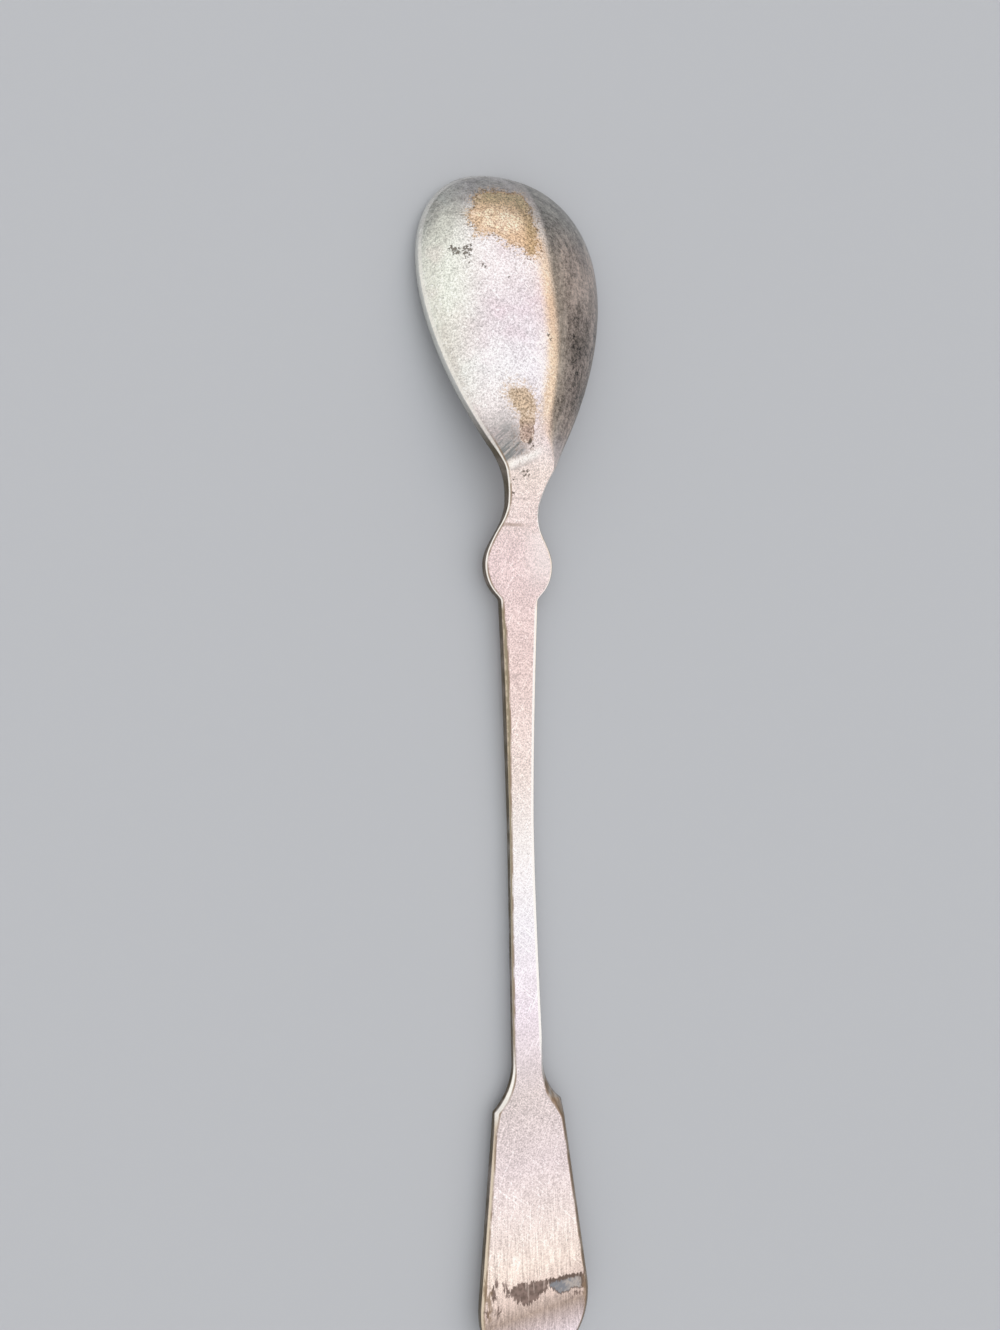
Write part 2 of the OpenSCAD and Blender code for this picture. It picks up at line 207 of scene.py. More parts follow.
# Painted dark reflection on the flank by the distance from its line, and painted grey shade round the tip
# by the way out, each ending by station
PAINTED_DARK_ACROSS = (-0.2, 0.55)
PAINTED_DARK_END = (27.6, 24)
TIP_BAND_OFF = (0.56, 0.92)
TIP_BAND_END = (10, 4.2)
# The share of the painted dark reflection on the front
FRONT_PAINTED_DARK = 0.2
# Edges of the bare patches: where the plate ends, where it is thin, and how uneven it is there
BARE_AT = -0.2
THIN_AT = 0.35
TIP_WOBBLE = 0.26
HEEL_WOBBLE = 0.1
WOBBLE_RATE = 2.3
# The most that a point moves onto such an edge, as a share of the mesh's step
MOVE_MOST = 0.5
# A distance that counts as nowhere near
FAR = 9.0

# Camera: to the spoon's left, fitted to the photograph's frame of 1000 by 1330 pixels
FRAME_H = 1330
FOCAL_PX = 970
CAM_LEFT = 24.875
CAM_PITCH = -0.04
CAM_ROLL = 1.286
CAM_PLACE = Vector((-1.364, 9.411, 91.515))
SENSOR = 36
CLIP_START = 5


def tangent(degrees):
    return math.tan(math.radians(degrees))


def share(value, low, high):
    """How far value lies from low to high, from 0 to 1."""
    return np.clip((value - low) / (high - low), 0, 1)


def ease(value, low, high):
    """Like share, but starting and ending gently."""
    part = share(value, low, high)
    return part * part * (3 - 2 * part)


def between(value, start, full, fade, end):
    """Rises gently from 0 at start to 1 at full, and falls from fade to end."""
    return ease(value, start, full) * ease(value, end, fade)


def blend_max(a, b, width):
    """The higher of a and b, run together over width."""
    part = np.clip(0.5 + (a - b) / (2 * width), 0, 1)
    return b + (a - b) * part + width * part * (1 - part)


def blend_min(a, b, width):
    return -blend_max(-a, -b, width)


# Outline in plan

def flank(s):
    return BOWL_W / 2 * (1 - share(s, BOWL_WIDEST, FLANK_END) ** FLANK_POWER)


def knop_rise(s):
    swell = np.sin(math.pi / 2 * share(s, KNOP_POS - KNOP_FRONT, KNOP_POS)) ** 2
    return NECK_W / 2 + (KNOP_W - NECK_W) / 2 * swell


def knop_fall(s):
    return KNOP_W / 2 * np.sqrt(1 - share(s, KNOP_POS, KNOP_TAIL) ** 2)


def stem(s):
    top = (STEM_TOP_W - STEM_MID_W) / 2 * (1 - share(s, KNOP_POS, KNOP_POS + STEM_NARROW)) ** 2
    low = (STEM_LOW_W - STEM_MID_W) / 2 * share(s, KNOP_POS + STEM_WIDENS * STEM_NARROW, SHOULDER_POS)
    return STEM_MID_W / 2 + top + low


def flare(s):
    run = np.clip(s - SHOULDER_POS, 0, SHOULDER_R)
    return STEM_LOW_W / 2 + SHOULDER_R - np.sqrt(SHOULDER_R ** 2 - run ** 2)


def blade(s):
    return SHOULDER_W / 2 + (BLADE_W - SHOULDER_W) / 2 * (s - CORNER_POS) / (END_POS - CORNER_POS)


def half_width(s):
    """Half the spoon's width between the round stretches of its tip and end."""
    bowl = blend_max(flank(s), knop_rise(s), HEEL_BLEND)
    shank = blend_max(knop_fall(s), stem(s), KNOP_BLEND)
    return np.select([s < KNOP_POS, s < SHOULDER_POS, s < CORNER_POS], [bowl, shank, flare(s)], blade(s))


def off_axis(x, s):
    """0 on the axis and 1 on the rim."""
    across = np.abs(x)
    tip_run = np.clip(1 - s / BOWL_WIDEST, 0, 1)
    tip = ((across / (BOWL_W / 2)) ** TIP_POWER + tip_run ** TIP_POWER) ** (1 / TIP_POWER)
    end_run = share(s, END_POS, LENGTH)
    end = ((across / blade(s)) ** END_POWER + end_run ** END_POWER) ** (1 / END_POWER)
    return np.select([s < BOWL_WIDEST, s > END_POS], [tip, end], across / half_width(s))


# Side view: heights with the bowl's back up

def rim_line(s):
    return tangent(BOWL_TILT) * s + TIP_LIFT * (1 - share(s, 0, HEEL_POS)) ** 2


def neck_line(s):
    return rim_line(HEEL_POS) - tangent(NECK_DROP) * (s - HEEL_POS)


def stem_line(s):
    return neck_line(NECK_FOOT) - tangent(STEM_DROP) * (s - NECK_FOOT)


def blade_line(s):
    return stem_line(STEM_LOW) + tangent(END_RISE) * (s - STEM_LOW)


def turn(s):
    return TURN_RISE * share(s, TURN_POS, LENGTH) ** 2


def front(s):
    shank = blend_max(neck_line(s), stem_line(s), FRONT_BLEND)
    shank = blend_max(shank, blade_line(s), SAG_BLEND)
    return blend_min(rim_line(s), shank, FRONT_BLEND) + turn(s)


def vault(off):
    return np.clip(1 - off ** 2, 0, 1) ** RIM_CURVE


def rim_edge(s):
    return RIM_T + (HEEL_T - RIM_T) * share(s, BOWL_WIDEST, HEEL_POS) ** 3


def back(x, s):
    along = np.clip(s - BOWL_WIDEST, 0, None) / (HEEL_POS - BOWL_WIDEST)
    crown = np.clip(1 - (1 - HEEL_SHARE) * along ** BACK_CURVE, 0, 1)
    dome = rim_line(s) + rim_edge(s) + BOWL_DEPTH * crown * vault(off_axis(x, s))
    shank = blend_max(neck_line(s) + NECK_T, stem_line(s) + STEM_T, CREASE_BLEND)
    shank = blend_max(shank, blade_line(s) + BLADE_T, SAG_BLEND)
    return blend_min(dome, shank, CREASE_BLEND) + turn(s) + heel_ridge(x, s)


def hollow(s, off):
    return HOLLOW_DEPTH * (1 - share(s, BOWL_WIDEST, HOLLOW_END) ** BACK_CURVE) * vault(off)


def front_round(s):
    places = [HOLLOW_END, NECK_FOOT, SHOULDER_POS, CORNER_POS]
    return np.interp(s, places, [0, STEM_ROUND, STEM_ROUND, BLADE_ROUND])


def bevel(s):
    places = [HOLLOW_END, HEEL_POS, SHOULDER_POS, CORNER_POS, CORNER_POS + SHOULDER_CUT]
    return np.interp(s, places, [RIM_BEVEL, STEM_BEVEL, STEM_BEVEL, SHOULDER_BEVEL, BLADE_BEVEL])


def bevel_drop(s):
    slope = np.interp(s, [HOLLOW_END, HEEL_POS], [RIM_SLOPE, BEVEL_SLOPE])
    return bevel(s) * np.tan(np.radians(slope))


def ridge_place(x, s):
    """How far a place lies along the slanting ridge on the heel, and how far from it towards the neck."""
    start = np.array(RIDGE_FROM)
    run = np.array(RIDGE_TO) - start
    length = np.hypot(*run)
    along = ((x - start[0]) * run[0] + (s - start[1]) * run[1]) / length
    away = ((s - start[1]) * run[0] - (x - start[0]) * run[1]) / length
    return along / length, away


def bulge(away, width):
    """1 on a line, and less the further away."""
    return np.exp(-(away / width) ** 2)


def heel_ridge(x, s):
    along, away = ridge_place(x, s)
    return RIDGE_H * bulge(away, RIDGE_W) * between(along, *RIDGE_RUN)


# Marks on the back

def wobble(x, s):
    """Smooth unevenness between about -1 and 1."""
    waves = [
        (0.9, 0.5, 0.3), (-0.6, 1.1, 1.9), (1.7, -0.8, 4.1),
        (0.4, 2.1, 2.6), (2.6, 1.3, 5.2), (-2.2, 2.9, 0.8),
    ]
    return sum(np.sin(a * x + b * s + c) for a, b, c in waves) / (len(waves) / 2)


def outside(ovals, x, s):
    """About how many millimetres a place lies outside the nearest oval, below 0 inside."""
    nearest = np.full(np.shape(x), FAR)
    for middle_x, middle_s, half_x, half_s, lean in ovals:
        c = math.cos(math.radians(lean))
        d = math.sin(math.radians(lean))
        u = (c * (x - middle_x) + d * (s - middle_s)) / half_x
        v = (c * (s - middle_s) - d * (x - middle_x)) / half_s
        nearest = np.minimum(nearest, (np.hypot(u, v) - 1) * min(half_x, half_s))
    return nearest


def outside_line(corners, x, s):
    """Like outside, for the closed line through the corners."""
    nearest = np.full(np.shape(x), FAR)
    inside = np.zeros(np.shape(x), bool)
    for (from_x, from_s), (to_x, to_s) in zip(corners, corners[1:] + corners[:1]):
        run_x = to_x - from_x
        run_s = to_s - from_s
        part = np.clip(((x - from_x) * run_x + (s - from_s) * run_s) / (run_x ** 2 + run_s ** 2), 0, 1)
        nearest = np.minimum(nearest, np.hypot(x - from_x - part * run_x, s - from_s - part * run_s))
        inside ^= ((from_s > s) != (to_s > s)) & (x < from_x + run_x * (s - from_s) / run_s)
    return np.where(inside, -nearest, nearest)


def worn(x, s):
    uneven = wobble(WOBBLE_RATE * x, WOBBLE_RATE * s)
    tip = outside_line(TIP_WEAR, x, s) + TIP_WOBBLE * uneven
    heel = outside(HEEL_WEAR, x, s) + HEEL_WOBBLE * uneven
    return np.minimum(tip, heel)


def thin(x, s):
    """Like worn, with the places where the plate is only thin."""
    return np.minimum(worn(x, s), outside(THIN_WEAR, x, s) + THIN_AT)


def flank_line(x, s):
    """How far a place lies to the right of the line between the bowl's bright and dark sides."""
    return x - np.interp(s, FLANK_STATIONS, FLANK_X)


def painted_dark_flank(x, s):
    """Painted dark reflection on the bowl's right flank, grey-brown."""
    return ease(flank_line(x, s), *PAINTED_DARK_ACROSS) * ease(s, *PAINTED_DARK_END)


def painted_tip_shade(x, s):
    """Painted grey shade round the tip."""
    return ease(off_axis(x, s), *TIP_BAND_OFF) * ease(s, *TIP_BAND_END)


def heel_shade(x, s):
    """Painted grey shade on the bowl's side of the slanting ridge, and a soft painted shade line on its
    other side.
    """
    along, away = ridge_place(x, s)
    above = between(-away, *SHADE_RUN) * ease(along, *SHADE_SIDE)
    below = 0.5 * bulge(away - SHADE_LINE, SHADE_LINE_W) * between(along, *SHADE_LINE_RUN)
    return above + below


def ridge_highlight(x, s):
    """A painted highlight along the top of the slanting ridge."""
    along, away = ridge_place(x, s)
    return bulge(away, RIDGE_W) * between(along, *RIDGE_LIGHT_RUN)


# The form as a grid: rows round the rim, columns from the back's axis over the rim to the front's axis

def fan(half, reach, power, steps):
    """Points of a round end from right to left: how far across, and how far past its middle."""
    angle = np.pi * np.arange(1, steps) / steps
    across = half * np.sign(np.cos(angle)) * np.abs(np.cos(angle)) ** (2 / power)
    return across, reach * np.sin(angle) ** (2 / power)


def side_stations():
    runs = []
    for low, high, step in SPACING:
        runs.append(np.linspace(low, high, round((high - low) / step), endpoint=False))
    return np.append(np.concatenate(runs), END_POS)


class Grid:
    """Points, faces and marks of the whole form, in millimetres."""

    def __init__(self):
        self.lay_rows()
        self.lay_columns()
        self.settle()
        self.gather(self.heights())
        self.faces = list(self.rings())

    def lay_rows(self):
        side = side_stations()
        half = half_width(side)
        order = np.arange(len(side))
        tip_x, tip_run = fan(BOWL_W / 2, BOWL_WIDEST, TIP_POWER, TIP_STEPS)
        end_x, end_run = fan(1, END_LEN, END_POWER, END_STEPS)
        end_s = END_POS + end_run
        self.axis = side
        at_tip = np.zeros(len(tip_x), int)
        at_end = np.full(len(end_x), order[-1])
        self.pole = np.concatenate([order[::-1], at_tip, order, at_end])
        self.rim_x = np.concatenate([half[::-1], tip_x, -half, -end_x * blade(end_s)])
        self.rim_s = np.concatenate([side[::-1], BOWL_WIDEST - tip_run, side, end_s])

    def toward_rim(self, off):
        start = self.axis[self.pole]
        return self.rim_x * off, start + (self.rim_s - start) * off

    def lay_columns(self):
        reach = np.hypot(self.rim_x, self.rim_s - self.axis[self.pole])
        from_corner = np.abs(self.rim_s - CORNER_POS)
        rubbed_right = RUBBED_RIGHT * (1 - share(from_corner, 0, RUBBED_RIGHT_REACH))
        rubbed_left = RUBBED_LEFT * (1 - share(from_corner, 0, RUBBED_LEFT_REACH))
        rubbed = np.where(self.rim_x > 0, rubbed_right, rubbed_left)
        on_stem = between(self.rim_s, *STEM_WIDE_RUN)
        on_blade = ease(self.rim_s, *BLADE_NARROW_START)
        left = (self.rim_x < 0) * (STEM_WIDER * on_stem + BLADE_NARROWER * on_blade)
        self.cut = bevel(self.rim_s) * (1 + rubbed + left)
        self.back_off = 1 - self.cut / reach
        self.front_off = 1 - np.minimum(RIM_FLAT, RIM_FLAT_MOST * reach) / reach
        offs = [self.back_off * step for step in np.linspace(0, 1, BACK_STEPS + 1)[1:]]
        offs += [self.back_off + (1 - self.back_off) * step for step in BEVEL_SHARES]
        offs += [np.ones(len(reach)) for _ in WALL_SHARES]
        offs += [self.front_off * step for step in np.linspace(1, 0, FRONT_STEPS + 1)[:-1]]
        places = [self.toward_rim(off) for off in offs]
        self.off = np.stack(offs, 1)
        self.x = np.stack([x for x, s in places], 1)
        self.s = np.stack([s for x, s in places], 1)

    def settle(self):
        """Moves points beside a bare patch's edge onto it, and notes which side of it each point is on."""
        flat = BACK_STEPS - 1
        x = np.column_stack([np.zeros(len(self.x)), self.x[:, :flat]])
        s = np.column_stack([self.axis[self.pole], self.s[:, :flat]])
        level = worn(x, s) - BARE_AT
        nearest = np.full(level.shape, MOVE_MOST)
        new_x, new_s = x.copy(), s.copy()
        for axis, step in [(0, 1), (0, -1), (1, 1), (1, -1)]:
            beyond = np.roll(level, step, axis)
            crossed = level * beyond < 0
            part = np.where(crossed, level / np.where(crossed, level - beyond, 1), 1)
            if axis == 1:
                part[:, 0 if step == 1 else -1] = 1
            closer = part < nearest
            nearest = np.where(closer, part, nearest)
            new_x = np.where(closer, x + (np.roll(x, step, axis) - x) * part, new_x)
            new_s = np.where(closer, s + (np.roll(s, step, axis) - s) * part, new_s)
        self.x[:, :flat] = new_x[:, 1:]
        self.s[:, :flat] = new_s[:, 1:]
        self.plated = np.ones(self.x.shape)
        self.plated[:, :flat] = np.where(nearest < MOVE_MOST, 0, np.sign(level))[:, 1:]
        self.axis_plated = np.sign(worn(0 * self.axis, self.axis) - BARE_AT)

    def heights(self):
        z = np.empty(self.x.shape)
        z[:, :BACK_STEPS] = back(self.x[:, :BACK_STEPS], self.s[:, :BACK_STEPS])
        top = z[:, BACK_STEPS - 1]
        shank = between(self.rim_s, *FLATTER_RUN)
        edge = top - bevel_drop(self.rim_s) * (1 - FLATTER * shank * (self.rim_x > 0))
        base = front(self.rim_s) + front_round(self.rim_s)
        for k, step in enumerate(BEVEL_SHARES):
            z[:, BACK_STEPS + k] = top + (edge - top) * step
        for k, step in enumerate(WALL_SHARES):
            z[:, BEVEL_END + k] = edge + (base - edge) * step
        s = self.s[:, WALL_END:]
        off = self.off[:, WALL_END:]
        z[:, WALL_END:] = front(s) + hollow(s, off / self.front_off[:, None]) + front_round(s) * off ** 3
        return z

    def gather(self, z):
        """Lists all points, those on the back's and the front's axis last, with their sides and marks."""
        axis = self.axis
        zero = 0 * axis
        self.points = np.column_stack([
            np.concatenate([self.x.ravel(), zero, zero]),
            LENGTH / 2 - np.concatenate([self.s.ravel(), axis, axis]),
            np.concatenate([z.ravel(), back(zero, axis), front(axis) + hollow(axis, zero)]),
        ])
        columns = np.arange(self.x.shape[1])
        side = np.where(columns < BEVEL_END, 1.0, np.where(columns < WALL_END, 0.0, -1.0))
        self.side = np.concatenate([np.tile(side, len(self.x)), zero + 1, zero - 1])
        reach = self.cut / (1 - self.back_off)
        inset = np.where(columns < WALL_END, (self.back_off[:, None] - self.off) * reach[:, None], FAR)
        self.inset = np.concatenate([inset.ravel(), zero + FAR, zero + FAR])
        self.state = np.concatenate([self.plated.ravel(), self.axis_plated, zero + 1])

    def rings(self):
        """Every face's points, counter-clockwise from outside."""
        count, deep = self.x.shape
        back_axis = count * deep
        front_axis = back_axis + len(self.axis)
        for row in range(count):
            after = (row + 1) % count
            here = row * deep
            there = after * deep
            poles = sorted({self.pole[row], self.pole[after]}, key=lambda p: p != self.pole[after])
            yield [here, there] + [back_axis + p for p in poles]
            for c in range(deep - 1):
                yield [here + c, here + c + 1, there + c + 1, there + c]
            last = deep - 1
            yield [there + last, here + last] + [front_axis + p for p in reversed(poles)]


def normals(points, faces):
    """Each point's outward direction, from the faces round it."""
    corners = np.array([f if len(f) == 4 else f + f[-1:] for f in faces])
    first, second, third, fourth = (points[corners[:, k]] for k in range(4))
    across = np.cross(third - first, fourth - second)
    total = np.zeros(points.shape)
    for k in range(4):
        np.add.at(total, corners[:, k], across)
    return total / np.linalg.norm(total, axis=1)[:, None]


def open_edges(faces):
    """Directed edges that only one face has."""
    edges = {(a, b) for f in faces for a, b in zip(f, f[1:] + f[:1])}
    return [(a, b) for a, b in edges if (b, a) not in edges]


def mesh_object(name, points, faces, marks, sharp=()):
    """A smooth-shaded object with one value per point for each mark."""
    mesh = bpy.data.meshes.new(name)
    mesh.from_pydata((points * MM).tolist(), [], faces)
    mesh.shade_smooth()
    hard = {tuple(sorted(edge)) for edge in sharp}
    for edge in mesh.edges:
        edge.use_edge_sharp = tuple(sorted(edge.vertices)) in hard
    for mark, values in marks.items():
        mesh.attributes.new(mark, "FLOAT", "POINT").data.foreach_set("value", values.astype(np.float32))
    piece = bpy.data.objects.new(name, mesh)
    bpy.context.scene.collection.objects.link(piece)
    return piece


def marks_of(grid):
    """Values per point that the materials read: distances in millimetres, and shares from 0 to 1."""
    x = grid.points[:, 0]
    s = LENGTH / 2 - grid.points[:, 1]
    on_back = grid.side > 0

    def back_only(values, elsewhere=FAR):
        return np.where(on_back, values, elsewhere)

    return {
        "wear": back_only(worn(x, s)),
        "thin": back_only(thin(x, s)),
        "brown": back_only(np.minimum(outside_line(BROWN_STAIN, x, s), outside(SMALL_STAIN, x, s))),
        "blue": back_only(outside_line(BLUE_STAIN, x, s)),
        "edge_stain": back_only(outside(EDGE_STAIN, x, s)),
        "heel_pit": back_only(outside(HEEL_PIT, x, s)),
        "painted_sheen": back_only(outside(BRASS_PAINTED_SHEEN, x, s)),
        "painted_dark_flank": back_only(painted_dark_flank(x, s), FRONT_PAINTED_DARK),
        "painted_tip_shade": back_only(painted_tip_shade(x, s), 0),
        "heel_shade": back_only(heel_shade(x, s), 0),
        "ridge": back_only(ridge_highlight(x, s), 0),
        "flank_line": back_only(flank_line(x, s), -FAR),
        "back": np.maximum(grid.side, 0),
        "wall": 1 - np.abs(grid.side),
        "inset": grid.inset,
        "off": off_axis(x, s),
    }


def make_spoon():
    """The brass blank, and the plate as a thin closed shell that is open where it is worn through."""
    grid = Grid()
    outward = normals(grid.points, grid.faces)
    marks = marks_of(grid)
    coat = grid.points + outward * PLATE_T
    drop = np.array([0, 0, coat[:, 2].min()])
    blank = mesh_object("brass_core", grid.points - drop, grid.faces, marks)
    kept = [f for f in grid.faces if grid.state[f].sum() > 0]
    count = len(coat)
    rim = open_edges(kept)
    inner = [[count + p for p in reversed(f)] for f in kept]
    wall = [[b, a, count + a, count + b] for a, b in rim]
    faces = kept + inner + wall
    used = np.unique(np.concatenate([np.array(f) for f in faces]))
    renumber = np.full(2 * count, -1)
    renumber[used] = np.arange(len(used))
    faces = [renumber[f].tolist() for f in faces]
    points = np.concatenate([coat, grid.points])[used] - drop
    both = {name: np.tile(values, 2)[used] for name, values in marks.items()}
    sharp = [(renumber[a + side], renumber[b + side]) for a, b in rim for side in (0, count)]
    plate = mesh_object("plate_skin", points, faces, both, sharp)
    return blank, plate


# Materials

def tone(red, green, blue):
    """A colour given as it looks on a screen, from 0 to 255."""
    parts = [v / 255 for v in (red, green, blue)]
    return tuple(v / 12.92 if v <= 0.04045 else ((v + 0.055) / 1.055) ** 2.4 for v in parts) + (1.0,)


class Nodes:
    """Short calls for one node tree."""

    def __init__(self, tree):
        self.tree = tree

    def add(self, kind, inputs, **settings):
        node = self.tree.nodes.new(kind)
        for name, value in settings.items():
            setattr(node, name, value)
        for key, value in inputs.items():
            self.feed(node.inputs[key], value)
        return node

    def feed(self, socket, value):
        if isinstance(value, bpy.types.NodeSocket):
            self.tree.links.new(value, socket)
        else:
            socket.default_value = value

    def math(self, operation, a, b=0.0, c=0.0):
        return self.add("ShaderNodeMath", {0: a, 1: b, 2: c}, operation=operation).outputs[0]

    def chain(self, operation, parts):
        result = parts[0]
        for part in parts[1:]:
            result = self.math(operation, result, part)
        return result

    def total(self, *parts):
        return self.chain("ADD", parts)

    def times(self, *parts):
        return self.chain("MULTIPLY", parts)

    def most(self, *parts):
        return self.chain("MAXIMUM", parts)

    def without(self, part):
        """What a part leaves of 1."""
        return self.math("SUBTRACT", 1.0, part)

    def vector(self, operation, a, b):
        """A vector, or the number that a distance or a dot product gives."""
        node = self.add("ShaderNodeVectorMath", {0: a, 1: b}, operation=operation)
        return node.outputs["Value" if operation in ("DISTANCE", "DOT_PRODUCT") else "Vector"]

    def scaled(self, vector, scale):
        return self.add("ShaderNodeVectorMath", {0: vector, "Scale": scale}, operation="SCALE").outputs[0]

    def ease(self, value, low, high, start=0.0, end=1.0):
        """From start at low to end at high, gently."""
        inputs = {"Value": value, "From Min": low, "From Max": high, "To Min": start, "To Max": end}
        return self.add("ShaderNodeMapRange", inputs, interpolation_type="SMOOTHSTEP").outputs[0]

    def between(self, value, start, full, fade, end):
        return self.times(self.ease(value, start, full), self.ease(value, end, fade))

    def mark(self, name):
        return self.add("ShaderNodeAttribute", {}, attribute_name=name).outputs["Fac"]

    def place(self):
        """Where a point of the piece lies, in millimetres."""
        return self.scaled(self.add("ShaderNodeTexCoord", {}).outputs["Object"], 1 / MM)

    def x_and_station(self, where):
        x, y = self.add("ShaderNodeSeparateXYZ", {0: where}).outputs[:2]
        return x, self.math("SUBTRACT", LENGTH / 2, y)

    def noise(self, where, scale, detail, roughness=0.5):
        """Unevenness between 0 and 1, with about scale lumps in a millimetre."""
        inputs = {"Vector": where, "Scale": scale, "Detail": detail, "Roughness": roughness}
        return self.add("ShaderNodeTexNoise", inputs).outputs[0]

    def streaks(self, where, across, along, detail, lean=0.0):
        """Unevenness in streaks that run along the spoon, or lean from it."""
        turned = {"Vector": where, "Rotation": (0, 0, math.radians(lean))}
        spun = self.add("ShaderNodeMapping", turned).outputs[0]
        stretched = {"Vector": spun, "Scale": (across, along, across)}
        return self.noise(self.add("ShaderNodeMapping", stretched).outputs[0], 1.0, detail)

    def mix(self, part, a, b, kind="MIX"):
        node = self.add("ShaderNodeMix", {0: part, 6: a, 7: b}, data_type="RGBA", blend_type=kind)
        return node.outputs[2]

    def shaded(self, colour, amount):
        """A colour times an amount."""
        grey = self.add("ShaderNodeCombineColor", {0: amount, 1: amount, 2: amount}).outputs[0]
        return self.mix(1.0, colour, grey, "MULTIPLY")

    def ramp(self, value, stops):
        node = self.add("ShaderNodeValToRGB", {0: value})
        elements = node.color_ramp.elements
        for position, _ in stops[2:]:
            elements.new(position)
        for element, (position, colour) in zip(elements, stops):
            element.position = position
            element.color = colour
        return node.outputs[0]

    def bump(self, height, depth, under=None):
        inputs = {"Height": height, "Distance": depth * MM, "Strength": 1.0}
        if under:
            inputs["Normal"] = under
        return self.add("ShaderNodeBump", inputs).outputs[0]


def new_material(name, kind=Nodes):
    material = bpy.data.materials.new(name)
    material.use_nodes = True
    tree = material.node_tree
    return material, kind(tree), tree.nodes["Principled BSDF"]


def set_metal(n, shader, colour, roughness, normal):
    n.feed(shader.inputs["Base Color"], colour)
    n.feed(shader.inputs["Roughness"], roughness)
    n.feed(shader.inputs["Normal"], normal)
    shader.inputs["Metallic"].default_value = 1.0


# Tones of the plate along the spoon, by station; the dark band at 105.3 is painted shade where the
# handle's end turns
PLATE_TONES = [
    (2, tone(222, 218, 217)),
    (7, tone(238, 230, 230)),
    (11, tone(250, 240, 240)),
    (14.5, tone(237, 226, 230)),
    (19.5, tone(251, 246, 249)),
    (24, tone(242, 231, 231)),
    (28.5, tone(234, 218, 210)),
    (31, tone(240, 222, 217)),
    (36, tone(234, 213, 211)),
    (46, tone(240, 217, 211)),
    (56, tone(242, 227, 219)),
    (62, tone(247, 241, 237)),
    (70, tone(248, 244, 248)),
    (78, tone(245, 233, 240)),
    (85.5, tone(224, 211, 208)),
    (92, tone(238, 223, 223)),
    (97, tone(247, 231, 225)),
    (101, tone(253, 234, 222)),
    (103.5, tone(238, 216, 205)),
    (105.3, tone(181, 161, 149)),
    (106.8, tone(214, 197, 196)),
    (108.6, tone(238, 226, 232)),
]
CREAM = tone(235, 237, 228)
PINK_TINT = tone(255, 244, 248)
# Painted tan reflection along the edge of the dark flank
TAN_REFLECTION = tone(240, 216, 182)
# Painted dark reflection on the bowl's right flank
DARK_FLANK_REFLECTION = tone(163, 149, 140)
# Painted grey shade round the tip
TIP_SHADE_GREY = tone(143, 140, 134)
# Painted grey shade beside the heel's ridge
HEEL_SHADE_GREY = tone(132, 134, 135)
# Painted shade along the crease at the neck's foot
CREASE_SHADE = tone(150, 128, 112)
# Walls, partly dirt and partly painted shade; also painted shade on the bowl's right rim bevel
WALL_TONE = tone(112, 101, 80)
WALL_LIGHT = tone(146, 134, 110)
# Painted light on the wall of the bowl's left rim
RIM_PAINTED_LIGHT = tone(244, 243, 236)
# Painted highlight on the bevels, the knop and the heel's ridge
PAINTED_HIGHLIGHT = tone(254, 251, 246)
# Softer painted highlight on the blade's bevels and the stem's left bevel
CREAM_HIGHLIGHT = tone(218, 203, 182)
# Brown on bevels, partly dirt and partly painted shade, and on stains at the blade's edge
EDGE_BROWN = tone(142, 120, 98)
PIT = tone(102, 92, 82)
BROWN = tone(136, 116, 108)
BROWN_DARK = tone(102, 86, 78)
SLATE = tone(130, 133, 139)
SLATE_LIGHT = tone(188, 178, 170)
# Painted highlight in the brass patch's middle
BRASS_HIGHLIGHT = tone(272, 242, 214)
BRASS = tone(237, 205, 173)
BRASS_DARK = tone(210, 184, 147)
BRASS_OLIVE = tone(217, 196, 157)
HEEL_TAN = tone(218, 194, 168)
HEEL_BROWN = tone(196, 171, 158)
SPECK = tone(112, 90, 66)
REMAINS = tone(232, 218, 204)

# Depths of the bump, in millimetres
GRAIN_DEPTH = 0.004
BRUSH_DEPTH = 0.006
SCRATCH_DEPTH = 0.004
PIT_DEPTH = 0.03

# Where a finish begins and is full, and where it starts to fade and ends, by station
ON_BOWL = (HEEL_POS + 1, HEEL_POS - 2)
PAST_HEEL = (HEEL_POS - 4, HEEL_POS)
STEM_RUN = (KNOP_TAIL - 0.5, KNOP_TAIL + 0.7, SHOULDER_POS - 2, SHOULDER_POS + 1)
CALM_RUN = (52, 62, SHOULDER_POS, CORNER_POS)
ON_HANDLE = (SHOULDER_POS, SHOULDER_POS + 2.5)
BELOW_CORNER = (CORNER_POS, CORNER_POS + 1.5)
ON_BLADE = (CORNER_POS + 2, CORNER_POS + 14)
FRINGE_GROWS = (7, 13)
FRINGE_END = (26.5, 22)
LIT_EDGE_END = (4.2, 3.2)
KNOP_LIGHT_RUN = (32.8, 33.8, 36, 40)
FLANK_PALE_RUN = (7, 10, 12, 15)
LINE_LIGHT_RUN = (9, 14, 15, 19)
FLANK_DARK_START = (10, 19)
FLANK_DARK_END = (24.5, 20.5)
RIM_DARK_START = (7, 11)
DARK_TONE_BROWN = (4, 9)
LEFT_RIM_END = (27, 20)
OLIVE_END = (5.2, 3.4)
OUTLINE_END = (8, 6)
NEAR_HEEL = (12, 18)
CRUMBS_TO_HEEL = (14, 17)
CRUMBS_DARKEN = (23.2, 24.6)
BRASS_TO_HEEL = (14, 16)
BRASS_DARKENS = (23.6, 25)
BLUE_TOP = (102.85, 103.1)
# The slope of that last line across the handle
BLUE_TOP_LEAN = -0.07
